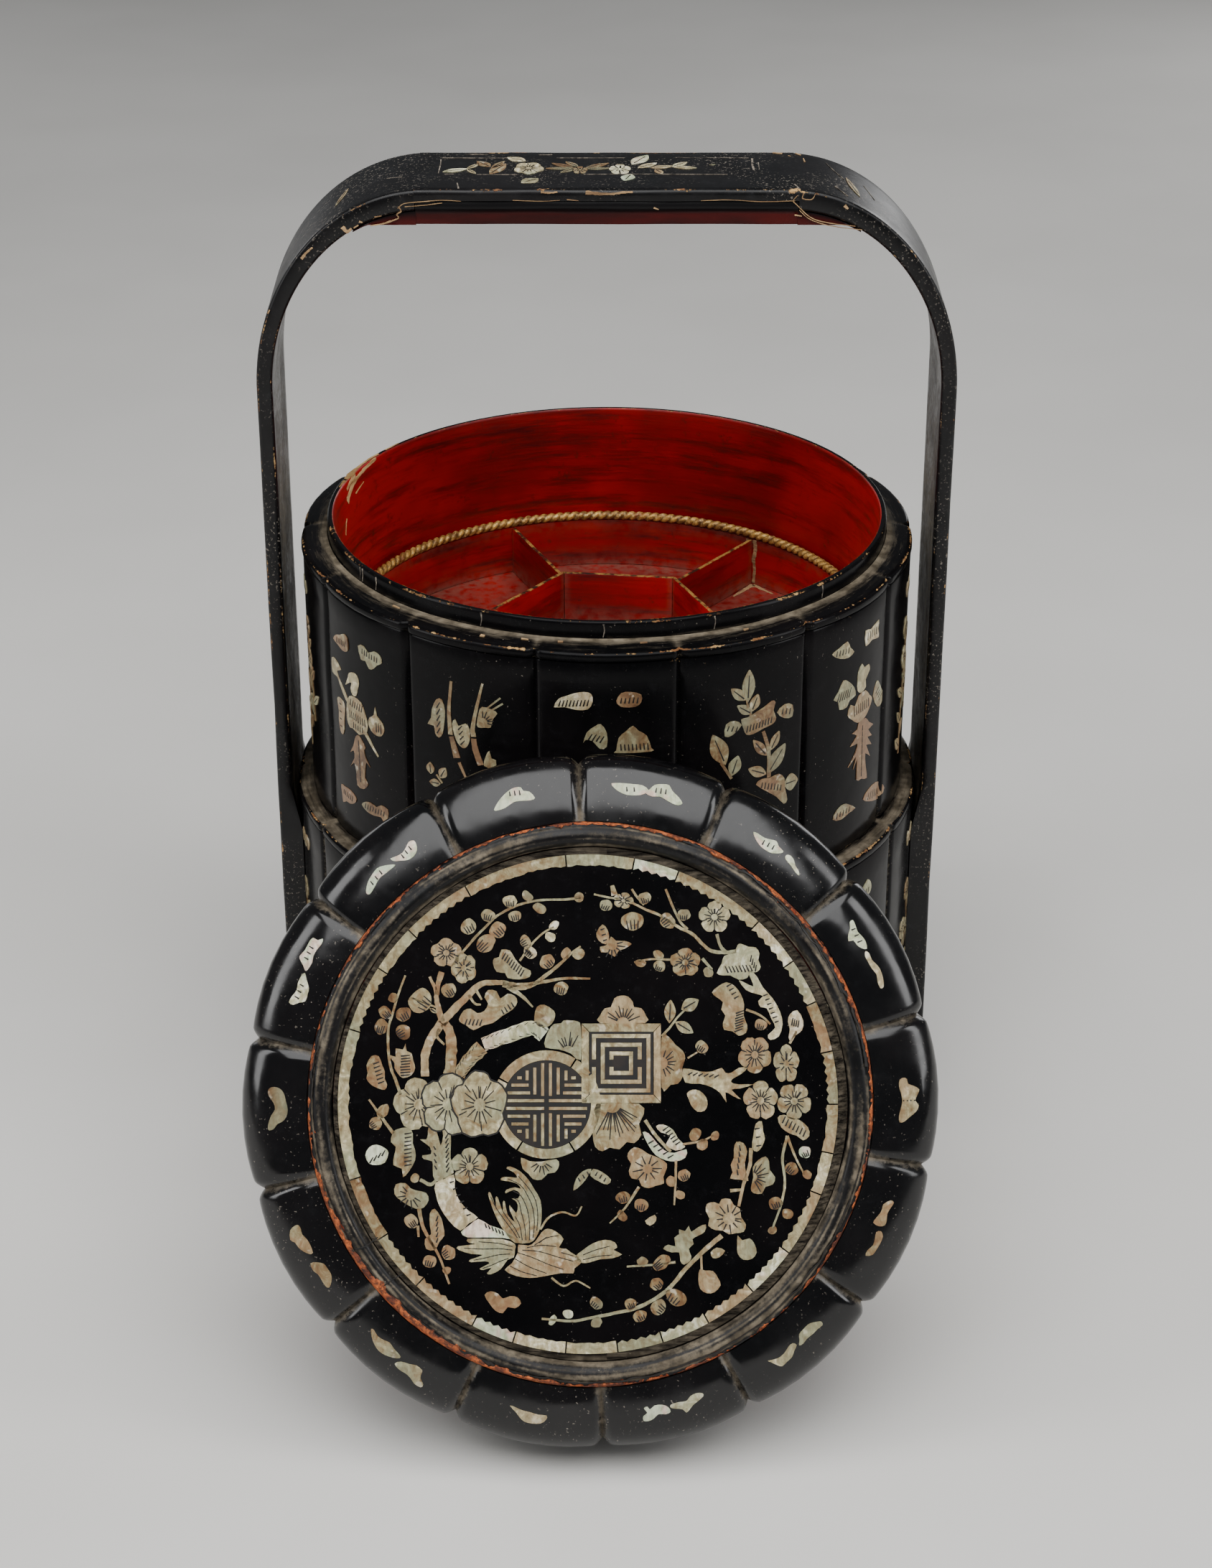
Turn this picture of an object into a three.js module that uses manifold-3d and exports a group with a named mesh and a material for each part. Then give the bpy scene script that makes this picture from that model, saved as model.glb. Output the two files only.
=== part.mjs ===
import * as THREE from 'three';
import { mergeVertices } from 'three/addons/utils/BufferGeometryUtils.js';
import Module from 'manifold-3d';

// A lacquered wooden food basket: a base with a lower tier and a fixed bow handle, a loose upper tier with
// a lift-out tray, and a lid that leans on the front. Millimetres, +Z up, the origin on the floor under the
// middle of the base, and the front towards -Y.

// Fits between pieces
const glueGap = 0.3;
const liftGap = 0.4;
const trayClearance = 3.8;
const cutOverrun = 1;
const mergeTolerance = 0.0001;

// Lobes, the same on every storey
const lobeCount = 14;
const wallGrooveWidth = 6;
const wallGrooveDepth = 1.8;
const wallCrown = 1.1;
const ringSteps = 60;

// Round lining of the upper tier, whose top stands up as the neck
const boreRadius = 124.2;
const liningThickness = 2.8;
const neckHeight = 7.5;

// Outer walls and the ledges on top of them
const upperWallThickness = 11.4;
const lowerTierStep = 6.6;
const lowerWallThickness = 9;
const ledgeOverhang = 0.6;
const ledgeThickness = 6;
const ledgeSlope = 1.6;
const ledgeRound = 1.8;

// Storey heights
const baseThickness = 14;
const baseReach = 11;
const baseEdgeRound = 4;
const lowerWallHeight = 161.6;
const upperStoreyHeight = 122;
const upperFloorThickness = 6;
const lowerNeckHeight = 8;
const floorPlayAboveNeck = 1.2;

// Tray inside the upper tier
const trayDepthBelowRim = 52.6;
const trayFloorThickness = 3;
const trayWallHeight = 23.4;
const trayWallThickness = 2;
const trayRimHeight = 3.6;
const trayRimWidth = 4;
const dividerThickness = 2;
const dividerDrop = 1.5;
const hexagonRadius = 53;
const hexagonSides = 6;
const hexagonTurn = THREE.MathUtils.degToRad(-7);
const supportRingHeight = 7;
const supportRingWidth = 8;

// Bow handle
const uprightThickness = 7;
const handleWidth = 57;
const handleTop = 468.2;
const shoulderRise = 91;
const shoulderRun = 75.4;
const shoulderThickness = 9.2;
const gripThickness = 16;
const stripThickness = 5;
const scarfStep = 4;
const tongueLength = 27;
const tongueTip = 0.8;
const shoulderSteps = 12;

// Pegs through each upright into the lower wall
const pegRadius = 2.4;
const pegSides = 10;
const pegCover = 2.2;
const pegDepthInWall = 6;
const pegOffset = 12;
const pegHeights = [66, 132];

// Lid
const lidOverhang = 5.2;
const lidSkirtHeight = 30;
const lidShoulderRise = 15;
const lidGrooveDepth = 3.4;
const lidGrooveWidth = 9;
const lidCrown = 1.6;
const crestOuterRadius = 116.2;
const crestWidth = 10.2;
const crestRise = 5;
const crestDepth = 10;
const crestSteps = 6;
const panelThickness = 7;
const panelRecess = 5;
const lidShoulderSteps = 6;
const lidShellThickness = 8;
const lidLean = THREE.MathUtils.degToRad(27);
const lidTurn = Math.PI / lobeCount + THREE.MathUtils.degToRad(2.1);
const lidSideShift = -6.8;

// Radii and levels that follow from the sizes above
const neckOuterRadius = boreRadius + liningThickness;
const wallBoreRadius = neckOuterRadius + liftGap;
const upperRadius = wallBoreRadius + upperWallThickness;
const lowerRadius = upperRadius + lowerTierStep;
const lowerInnerRadius = lowerRadius - lowerWallThickness;
const upperLedgeRadius = upperRadius + ledgeOverhang;
const lowerLedgeRadius = lowerRadius + ledgeOverhang;
const lowerWallFoot = baseThickness + glueGap;
const lowerLedgeFoot = lowerWallFoot + lowerWallHeight + glueGap;
const lowerLedgeTop = lowerLedgeFoot + ledgeThickness;
const upperWallFoot = lowerLedgeTop + glueGap;
const upperFloorFoot = lowerLedgeTop + lowerNeckHeight + floorPlayAboveNeck;
const upperFloorTop = upperFloorFoot + upperFloorThickness;
const upperLedgeTop = upperWallFoot + upperStoreyHeight;
const upperLedgeFoot = upperLedgeTop - ledgeThickness;
const rimTop = upperLedgeTop + neckHeight;
const trayTop = rimTop - trayDepthBelowRim;
const trayRimFoot = trayTop - trayRimHeight;
const trayWallTop = trayRimFoot - glueGap;
const trayWallFoot = trayWallTop - trayWallHeight;
const trayFloorTop = trayWallFoot - glueGap;
const trayFloorFoot = trayFloorTop - trayFloorThickness;
const trayRadius = boreRadius - trayClearance;
const trayWallRadius = trayRadius - trayRimWidth / 4;
const trayInnerRadius = trayWallRadius - trayWallThickness;
const uprightInner = lowerLedgeRadius + glueGap;
const uprightOuter = uprightInner + uprightThickness;
const lidRadius = upperLedgeRadius + lidOverhang;

// Colours as the eye meets them on the object
const blackLacquer = { color: '#17181a', roughness: 0.35, metalness: 0 };
const redLacquer = { color: '#8b0f0c', roughness: 0.4, metalness: 0 };
const brownLacquer = { color: '#4a1712', roughness: 0.45, metalness: 0 };
const giltPaint = { color: '#b08a3a', roughness: 0.45, metalness: 0.4 };
const bareWood = { color: '#a3794b', roughness: 0.8, metalness: 0 };

const wasm = await Module();
wasm.setup();

function toSolid(geometry) {
  const bare = geometry.clone();
  bare.deleteAttribute('normal');
  bare.deleteAttribute('uv');
  const merged = mergeVertices(bare, mergeTolerance);
  const vertProperties = merged.attributes.position.array;
  const triVerts = merged.index.array;
  return new wasm.Manifold(new wasm.Mesh({ numProp: 3, vertProperties, triVerts }));
}

function toGeometry(solid) {
  const mesh = solid.getMesh();
  const geometry = new THREE.BufferGeometry();
  geometry.setAttribute('position', new THREE.BufferAttribute(mesh.vertProperties, 3));
  geometry.setIndex(new THREE.BufferAttribute(mesh.triVerts, 1));
  return geometry;
}

function cut(geometry, cutters) {
  const left = cutters.reduce((solid, cutter) => solid.subtract(toSolid(cutter)), toSolid(geometry));
  return toGeometry(left);
}

// How deep the surface lies under the lobe's crest, at a share of the way from its middle (0) to the
// bottom of its groove (1 or -1)
function lobeDrop(share, crown, groove) {
  return crown * share * share + (Math.abs(share) === 1 ? groove : 0);
}

// Angles round the ring with their places on the lobes. A panel faces the front, -Y.
function lobeStops(grooveWidth, radius) {
  const lobeAngle = (2 * Math.PI) / lobeCount;
  const lip = 1 - Math.min(grooveWidth / (radius * lobeAngle), 1 / 3);
  const placeShares = [-1, -lip, -lip / 2, 0, lip / 2, lip];
  const stops = [];
  for (let lobe = 0; lobe < lobeCount; lobe += 1) {
    for (const share of placeShares) {
      stops.push({ share, angle: -Math.PI / 2 + (lobe + share / 2) * lobeAngle });
    }
  }
  return stops;
}

function roundStops() {
  return Array.from({ length: ringSteps }, (_, step) => ({ share: 0, angle: (2 * Math.PI * step) / ringSteps }));
}

// A closed section of { radius, height, crown, groove, out, up } points, taken round the axis. The section
// runs anticlockwise with the radius to the right and the height up. The grooves sink along (out, up).
function sweptRing(section, stops) {
  const positions = [];
  const indices = [];
  for (const { share, angle } of stops) {
    for (const { radius, height, crown = 0, groove = 0, out = 1, up = 0 } of section) {
      const drop = lobeDrop(share, crown, groove);
      const reach = radius - out * drop;
      positions.push(reach * Math.cos(angle), reach * Math.sin(angle), height - up * drop);
    }
  }
  const count = section.length;
  for (let stop = 0; stop < stops.length; stop += 1) {
    const here = stop * count;
    const there = ((stop + 1) % stops.length) * count;
    for (let point = 0; point < count; point += 1) {
      const next = (point + 1) % count;
      indices.push(here + point, there + point, there + next, here + point, there + next, here + next);
    }
  }
  const geometry = new THREE.BufferGeometry();
  geometry.setAttribute('position', new THREE.BufferAttribute(new Float32Array(positions), 3));
  geometry.setIndex(indices);
  return geometry;
}

function plainRing(innerRadius, outerRadius, foot, top) {
  return sweptRing([
    { radius: innerRadius, height: foot },
    { radius: outerRadius, height: foot },
    { radius: outerRadius, height: top },
    { radius: innerRadius, height: top },
  ], roundStops());
}

function disc(radius, foot, top) {
  const geometry = new THREE.CylinderGeometry(radius, radius, top - foot, ringSteps);
  geometry.rotateX(Math.PI / 2);
  geometry.rotateZ(Math.PI / 2);
  geometry.translate(0, 0, (foot + top) / 2);
  return geometry;
}

function lobedWall(innerRadius, outerRadius, foot, top) {
  const wave = { crown: wallCrown, groove: wallGrooveDepth };
  return sweptRing([
    { radius: innerRadius, height: foot },
    { radius: outerRadius, height: foot, ...wave },
    { radius: outerRadius, height: top, ...wave },
    { radius: innerRadius, height: top },
  ], lobeStops(wallGrooveWidth, outerRadius));
}

// A ledge slopes down a little from the neck and is rounded over at its lobed edge
function ledge(innerRadius, outerRadius, foot) {
  const wave = { crown: wallCrown, groove: wallGrooveDepth };
  const top = foot + ledgeThickness;
  return sweptRing([
    { radius: innerRadius, height: foot },
    { radius: outerRadius - ledgeRound / 2, height: foot, ...wave },
    { radius: outerRadius, height: foot + ledgeRound, ...wave },
    { radius: outerRadius, height: top - ledgeSlope - ledgeRound, ...wave },
    { radius: outerRadius - ledgeRound, height: top - ledgeSlope, ...wave },
    { radius: innerRadius + ledgeRound, height: top },
    { radius: innerRadius, height: top },
  ], lobeStops(wallGrooveWidth, outerRadius));
}

function lobedOutline(radius, crown, groove) {
  const points = lobeStops(wallGrooveWidth, radius).map(({ share, angle }) => {
    const reach = radius - lobeDrop(share, crown, groove);
    return new THREE.Vector2(reach * Math.cos(angle), reach * Math.sin(angle));
  });
  return new THREE.Shape(points);
}

// The base board's edge is eased over at the top, so it is a lower plate with a smaller one on it
function baseBoard() {
  const radius = lowerRadius + baseReach;
  const easedTop = baseThickness - baseEdgeRound;
  const wave = { crown: wallCrown, groove: wallGrooveDepth };
  const edge = sweptRing([
    { radius: lowerInnerRadius, height: 0 },
    { radius, height: 0, ...wave },
    { radius, height: easedTop, ...wave },
    { radius: radius - baseEdgeRound / 3, height: baseThickness - baseEdgeRound / 3, ...wave },
    { radius: radius - baseEdgeRound, height: baseThickness, ...wave },
    { radius: lowerInnerRadius, height: baseThickness },
  ], lobeStops(wallGrooveWidth, radius));
  const middle = disc(lowerRadius, 0, baseThickness);
  return toGeometry(toSolid(edge).add(toSolid(middle)));
}

function ellipseArc(centreX, centreZ, run, rise, from, to, steps) {
  const points = [];
  for (let step = 0; step <= steps; step += 1) {
    const angle = from + ((to - from) * step) / steps;
    points.push(new THREE.Vector2(centreX + run * Math.cos(angle), centreZ + rise * Math.sin(angle)));
  }
  return points;
}

// Profiles in the plane of the bow are extruded along Y to the handle's width
function bowPiece(points, width) {
  const geometry = new THREE.ExtrudeGeometry(new THREE.Shape(points), { depth: width, bevelEnabled: false });
  geometry.translate(0, 0, -width / 2);
  geometry.rotateX(Math.PI / 2);
  return geometry;
}

const shoulderFoot = handleTop - shoulderRise;
const shoulderStart = uprightOuter - shoulderRun;
const innerRun = uprightInner - shoulderStart;
const innerRise = shoulderRise - shoulderThickness;
const buttX = shoulderStart + scarfStep;

function underShoulder(x, drop) {
  const share = (x - shoulderStart) / innerRun;
  return shoulderFoot + innerRise * Math.sqrt(Math.max(1 - share * share, 0)) - drop;
}

// One side of the bow, for +X: a straight upright whose foot is scribed to the lobed wall, and the bent
// shoulder that ends at the butt joint with the top strip
function handleSide() {
  const outerStart = Math.acos(scarfStep / shoulderRun);
  const innerStart = Math.acos(scarfStep / innerRun);
  const outer = ellipseArc(shoulderStart, shoulderFoot, shoulderRun, shoulderRise, 0, outerStart, shoulderSteps);
  const inner = ellipseArc(shoulderStart, shoulderFoot, innerRun, innerRise, innerStart, 0, shoulderSteps);
  const foot = new THREE.Vector2(uprightOuter, lowerWallFoot);
  const scribeInner = lowerRadius * Math.cos(Math.asin(handleWidth / 2 / lowerRadius)) - wallCrown;
  const pad = [
    new THREE.Vector2(uprightInner, lowerLedgeTop),
    new THREE.Vector2(scribeInner, lowerLedgeTop - ledgeSlope),
    new THREE.Vector2(scribeInner, lowerWallFoot),
  ];
  const bow = bowPiece([foot, ...outer, ...inner, ...pad], handleWidth);
  const ledgeCut = lobedOutline(lowerLedgeRadius + glueGap, wallCrown, wallGrooveDepth);
  const cutter = new THREE.ExtrudeGeometry(ledgeCut, { depth: lowerLedgeTop, bevelEnabled: false });
  cutter.translate(0, 0, cutOverrun);
  return cut(bow, [cutter, ...pegPlaces().map((place) => pegShape(place, glueGap))]);
}

function pegPlaces() {
  return pegHeights.map((height, index) => ({ height, offset: index % 2 === 0 ? -pegOffset : pegOffset }));
}

function pegShape({ height, offset }, play) {
  const inner = lowerRadius - pegDepthInWall - play;
  const outer = uprightOuter - pegCover + play;
  const geometry = new THREE.CylinderGeometry(pegRadius + play, pegRadius + play, outer - inner, pegSides);
  geometry.rotateZ(Math.PI / 2);
  geometry.translate((outer + inner) / 2, offset, height);
  return geometry;
}

function mirrored(geometry) {
  return toGeometry(toSolid(geometry).mirror([1, 0, 0]));
}

function lowerWall() {
  const wall = lobedWall(lowerInnerRadius, lowerRadius, lowerWallFoot, lowerWallFoot + lowerWallHeight);
  const holes = pegPlaces().map((place) => pegShape(place, glueGap));
  return cut(wall, [...holes, ...holes.map(mirrored)]);
}

function topStrip() {
  const half = buttX - glueGap;
  const foot = handleTop - stripThickness;
  const shape = [
    new THREE.Vector2(-half, foot),
    new THREE.Vector2(half, foot),
    new THREE.Vector2(half, handleTop),
    new THREE.Vector2(-half, handleTop),
  ];
  return bowPiece(shape, handleWidth);
}

// The grip is full depth between the butt joints, and a thin tongue runs out under each shoulder
function grip() {
  const foot = handleTop - gripThickness;
  const top = handleTop - stripThickness - glueGap;
  const half = buttX - glueGap;
  const steps = shoulderSteps / 2;
  const upper = [];
  const lower = [];
  for (let step = 0; step <= steps; step += 1) {
    const share = step / steps;
    const x = half + tongueLength * share;
    const ceiling = underShoulder(x, glueGap);
    upper.push(new THREE.Vector2(x, ceiling));
    const start = Math.min(foot, ceiling - tongueTip);
    lower.push(new THREE.Vector2(x, Math.min(start, ceiling - tongueTip - (1 - share) * tongueTip)));
  }
  const right = [...lower, ...upper.reverse(), new THREE.Vector2(half, top)];
  const left = right.map(({ x, y }) => new THREE.Vector2(-x, y)).reverse();
  return bowPiece([...right, ...left], handleWidth);
}

// Tray boards, drawn in plan and extruded up. The hexagon's boards are mitred where three boards meet.
function board(points, foot, top) {
  const geometry = new THREE.ExtrudeGeometry(new THREE.Shape(points), { depth: top - foot, bevelEnabled: false });
  geometry.translate(0, 0, foot);
  return geometry;
}

function polar(radius, angle) {
  return new THREE.Vector2(radius * Math.cos(angle), radius * Math.sin(angle));
}

function cornerAngle(index) {
  return hexagonTurn + (2 * Math.PI * index) / hexagonSides;
}

const dividerFoot = trayFloorTop + glueGap;
const dividerTop = trayTop - dividerDrop;

function hexagonBoard(index) {
  const half = dividerThickness / 2 / Math.cos(Math.PI / hexagonSides);
  const trim = glueGap / 2;
  const corners = [];
  for (const [radius, corner, side] of [
    [hexagonRadius + half, index, 1],
    [hexagonRadius + half, index + 1, -1],
    [hexagonRadius - half, index + 1, -1],
    [hexagonRadius - half, index, 1],
  ]) {
    corners.push(polar(radius, cornerAngle(corner) + (side * trim) / radius));
  }
  return board(corners, dividerFoot, dividerTop);
}

function radialBoard(index) {
  const angle = cornerAngle(index);
  const start = hexagonRadius + dividerThickness / 2 / Math.cos(Math.PI / hexagonSides) + glueGap;
  const end = Math.sqrt((trayInnerRadius * Math.cos(Math.PI / ringSteps)) ** 2 - dividerThickness ** 2 / 4) - glueGap;
  const half = dividerThickness / 2;
  const corners = [
    new THREE.Vector2(start, -half),
    new THREE.Vector2(end, -half),
    new THREE.Vector2(end, half),
    new THREE.Vector2(start, half),
  ].map((point) => point.rotateAround(new THREE.Vector2(), angle));
  return board(corners, dividerFoot, Math.min(dividerTop, trayWallTop));
}

// Lid, drawn with its open edge at height 0 and its axis up
const lidWallTop = lidSkirtHeight + lidShoulderRise;
const shoulderReach = lidRadius - crestOuterRadius - glueGap;
const crestTop = lidWallTop + crestRise / 2;

function lidWall() {
  const section = [
    { radius: wallBoreRadius, height: 0 },
    { radius: lidRadius, height: 0, crown: lidCrown, groove: lidGrooveDepth },
  ];
  for (let step = 0; step <= lidShoulderSteps; step += 1) {
    const angle = (Math.PI / 2) * (step / lidShoulderSteps);
    const fade = 1 - step / (2 * lidShoulderSteps);
    section.push({
      radius: crestOuterRadius + glueGap + shoulderReach * Math.cos(angle),
      height: lidSkirtHeight + lidShoulderRise * Math.sin(angle),
      crown: lidCrown * fade,
      groove: lidGrooveDepth * fade,
      out: Math.cos(angle),
      up: Math.sin(angle),
    });
  }
  section.push({ radius: crestOuterRadius + glueGap, height: lidWallTop - lidShellThickness });
  section.push({ radius: wallBoreRadius, height: lidSkirtHeight - lidShellThickness / 2 });
  return sweptRing(section, lobeStops(lidGrooveWidth, lidRadius));
}

function crestRing() {
  const innerRadius = crestOuterRadius - crestWidth;
  const middle = crestOuterRadius - crestWidth / 2;
  const springing = crestTop - crestRise;
  const section = [
    { radius: innerRadius, height: crestTop - crestDepth },
    { radius: crestOuterRadius, height: crestTop - crestDepth },
  ];
  for (let step = 0; step <= crestSteps; step += 1) {
    const angle = (Math.PI * step) / crestSteps;
    section.push({
      radius: middle + (crestWidth / 2) * Math.cos(angle),
      height: springing + crestRise * Math.sin(angle),
    });
  }
  return sweptRing(section, roundStops());
}

function lidPanel() {
  const top = crestTop - panelRecess;
  return disc(crestOuterRadius - crestWidth - glueGap, top - panelThickness, top);
}

// The lid rests with its open edge on the floor and against the front of the upper tier
function leaningLid(parts) {
  const lid = new THREE.Group();
  lid.rotation.set(Math.PI / 2 - lidLean, 0, 0);
  const spin = new THREE.Group();
  spin.rotation.z = lidTurn;
  lid.add(spin);
  spin.add(...parts);
  lid.updateMatrixWorld(true);
  const reach = new THREE.Box3();
  const corner = new THREE.Vector3();
  for (const part of parts) {
    const places = part.geometry.attributes.position;
    for (let index = 0; index < places.count; index += 1) {
      reach.expandByPoint(corner.fromBufferAttribute(places, index).applyMatrix4(part.matrixWorld));
    }
  }
  lid.position.set(lidSideShift, -upperLedgeRadius - glueGap - reach.max.y, -reach.min.z);
  return lid;
}

function piece(name, geometry, finish) {
  const mesh = new THREE.Mesh(geometry, new THREE.MeshStandardMaterial(finish));
  mesh.name = name;
  return mesh;
}

const group = new THREE.Group();

group.add(
  piece('base_board', baseBoard(), blackLacquer),
  piece('lower_wall', lowerWall(), blackLacquer),
  piece('lower_ledge', ledge(neckOuterRadius + glueGap, lowerLedgeRadius, lowerLedgeFoot), blackLacquer),
  piece('lower_neck', plainRing(boreRadius, neckOuterRadius, lowerLedgeFoot, lowerLedgeTop + lowerNeckHeight), blackLacquer),
);

const rightSide = handleSide();
group.add(
  piece('handle_side_right', rightSide, blackLacquer),
  piece('handle_side_left', mirrored(rightSide), blackLacquer),
  piece('handle_top_strip', topStrip(), blackLacquer),
  piece('handle_grip', grip(), brownLacquer),
);
pegPlaces().forEach((place, index) => {
  const peg = pegShape(place, 0);
  const level = ['lower', 'upper'][index];
  group.add(piece(`upright_peg_right_${level}`, peg, bareWood));
  group.add(piece(`upright_peg_left_${level}`, mirrored(peg), bareWood));
});

group.add(
  piece('upper_wall', lobedWall(wallBoreRadius, upperRadius, upperWallFoot, upperLedgeFoot - glueGap), blackLacquer),
  piece('upper_ledge', ledge(neckOuterRadius + glueGap, upperLedgeRadius, upperLedgeFoot), blackLacquer),
  piece('upper_floor', disc(neckOuterRadius, upperFloorFoot, upperFloorTop), redLacquer),
  piece('upper_lining', plainRing(boreRadius, neckOuterRadius, upperFloorTop + glueGap, rimTop), redLacquer),
);

const ringTop = trayFloorFoot - glueGap;
const ringOuter = boreRadius - glueGap;
group.add(
  piece('tray_support_ring', plainRing(ringOuter - supportRingWidth, ringOuter, ringTop - supportRingHeight, ringTop), redLacquer),
  piece('tray_floor', disc(trayWallRadius, trayFloorFoot, trayFloorTop), redLacquer),
  piece('tray_wall', plainRing(trayInnerRadius, trayWallRadius, trayWallFoot, trayWallTop), redLacquer),
  piece('tray_rim', plainRing(trayRadius - trayRimWidth, trayRadius, trayRimFoot, trayTop), giltPaint),
);
for (let index = 0; index < hexagonSides; index += 1) {
  group.add(piece(`tray_hexagon_board_${index + 1}`, hexagonBoard(index), redLacquer));
  group.add(piece(`tray_divider_${index + 1}`, radialBoard(index), redLacquer));
}

group.add(leaningLid([
  piece('lid_wall', lidWall(), blackLacquer),
  piece('lid_crest_ring', crestRing(), blackLacquer),
  piece('lid_panel', lidPanel(), blackLacquer),
]));

export default group;
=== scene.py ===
import math
import random

import bmesh
import bpy
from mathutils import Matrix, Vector, noise


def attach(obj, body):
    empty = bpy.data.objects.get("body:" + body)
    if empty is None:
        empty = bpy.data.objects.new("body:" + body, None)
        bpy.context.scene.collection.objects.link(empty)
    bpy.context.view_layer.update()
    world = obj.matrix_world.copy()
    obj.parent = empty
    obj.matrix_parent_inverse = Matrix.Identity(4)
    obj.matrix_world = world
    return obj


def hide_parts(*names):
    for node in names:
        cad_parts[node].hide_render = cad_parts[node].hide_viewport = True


# A lacquered wooden food basket inlaid with mother-of-pearl: a base with the lower tier and the bow
# handle, a loose upper tier with a divided tray, and the lid that leans on the front. Sizes are in
# millimetres and go to metres when a mesh is made.

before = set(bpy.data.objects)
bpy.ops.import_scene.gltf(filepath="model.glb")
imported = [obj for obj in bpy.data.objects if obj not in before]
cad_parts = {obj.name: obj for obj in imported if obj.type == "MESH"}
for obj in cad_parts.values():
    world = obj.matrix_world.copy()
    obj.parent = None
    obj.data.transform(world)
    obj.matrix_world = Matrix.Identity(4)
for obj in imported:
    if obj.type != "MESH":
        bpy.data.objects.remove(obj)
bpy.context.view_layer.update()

MM = 0.001
TAU = 2 * math.pi
FRONT = -math.pi / 2
chance = random.Random(14)


# Camera: where the photographer stood, looking 27.6 degrees down

camera = bpy.data.objects.new("camera", bpy.data.cameras.new("camera"))
bpy.context.scene.collection.objects.link(camera)
camera.location = (-0.000356, -1.3332, 0.8653)
camera.rotation_euler = (math.radians(62.426), 0, 0)
camera.data.sensor_fit = "AUTO"
camera.data.sensor_width = 36
camera.data.lens = 72.53
camera.data.clip_end = 50
bpy.context.scene.camera = camera


# Materials

def linear(code):
    """The colour of an sRGB hex value, as the shaders take it."""
    parts = [int(code[start:start + 2], 16) / 255 for start in (1, 3, 5)]
    curve = [part / 12.92 if part <= 0.04045 else ((part + 0.055) / 1.055) ** 2.4 for part in parts]
    return (*curve, 1)


def feed(material, node, inputs):
    """Links a node's inputs to other nodes' outputs, or sets them to numbers, vectors or sRGB hex values."""
    for name, value in inputs.items():
        socket = node.inputs[name]
        if isinstance(value, bpy.types.NodeSocket):
            material.node_tree.links.new(value, socket)
        else:
            socket.default_value = linear(value) if isinstance(value, str) else value
    return material


def add_node(material, kind, inputs, stops=(), **settings):
    """Adds one shader node with its settings, its inputs and its ramp stops."""
    node = material.node_tree.nodes.new("ShaderNode" + kind)
    for key, value in settings.items():
        setattr(node, key, value)
    feed(material, node, inputs)
    for index, (place, colour) in enumerate(stops):
        ramp = node.color_ramp.elements
        stop = ramp[index] if index < len(ramp) else ramp.new(place)
        stop.position = place
        stop.color = linear(colour)
    return node


def start_material(name):
    material = bpy.data.materials.new(name)
    material.use_nodes = True
    shader = material.node_tree.nodes["Principled BSDF"]
    return material, shader, add_node(material, "TexCoord", {}).outputs["Object"]


def worked(material, value, *steps):
    """A value taken through steps of arithmetic, each an operation and its other value."""
    for operation, other in steps:
        value = add_node(material, "Math", {0: value, 1: other}, operation=operation).outputs[0]
    return value


def coat(material, under, over, mask, strength=1.0):
    """One colour laid over another where the mask says, as strongly as strength."""
    if strength < 1:
        mask = worked(material, mask, ("MULTIPLY", strength))
    return add_node(material, "Mix", {0: mask, 6: under, 7: over}, data_type="RGBA").outputs[2]


def speckle(material, place, size_mm, low, high, stretch=(1, 1, 1), detail=3.0, rough=0.6):
    """A soft mask from noise whose blotches are about size_mm across, rising from low to high."""
    spread = add_node(material, "VectorMath", {0: place, 1: stretch}, operation="MULTIPLY").outputs[0]
    scale = 1 / (size_mm * MM)
    field = add_node(material, "TexNoise", {"Vector": spread, "Scale": scale, "Detail": detail,
                                            "Roughness": rough})
    mask = add_node(material, "MapRange", {"Value": field.outputs["Fac"], "From Min": low, "From Max": high},
                    interpolation_type="SMOOTHSTEP")
    return mask.outputs["Result"]


def kept_marks(material, *names):
    """The marks that were put on the mesh's points: how far a point is worn, dusty or tinted."""
    return [add_node(material, "Attribute", {}, attribute_name=name).outputs["Fac"] for name in names]


def ringwise(material, place):
    """The place as radius, a slow turn round the axis, and height, so that noise runs along the rings."""
    x, y, z = add_node(material, "SeparateXYZ", {0: place}).outputs
    flat = add_node(material, "CombineXYZ", {0: x, 1: y}).outputs[0]
    reach = add_node(material, "VectorMath", {0: flat}, operation="LENGTH").outputs["Value"]
    turn = worked(material, x, ("ARCTAN2", y), ("MULTIPLY", 0.012))
    return add_node(material, "CombineXYZ", {0: reach, 1: turn, 2: z}).outputs[0]


def broken(material, mark, grain, spread, low, high):
    """A mark that breaks up into patches: grain from 0 to 1 moves its border by up to half of spread."""
    moved = worked(material, grain, ("SUBTRACT", 0.5), ("MULTIPLY", spread), ("ADD", mark))
    patch = add_node(material, "MapRange", {"Value": moved, "From Min": low, "From Max": high},
                     interpolation_type="SMOOTHSTEP")
    return patch.outputs["Result"]


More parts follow.
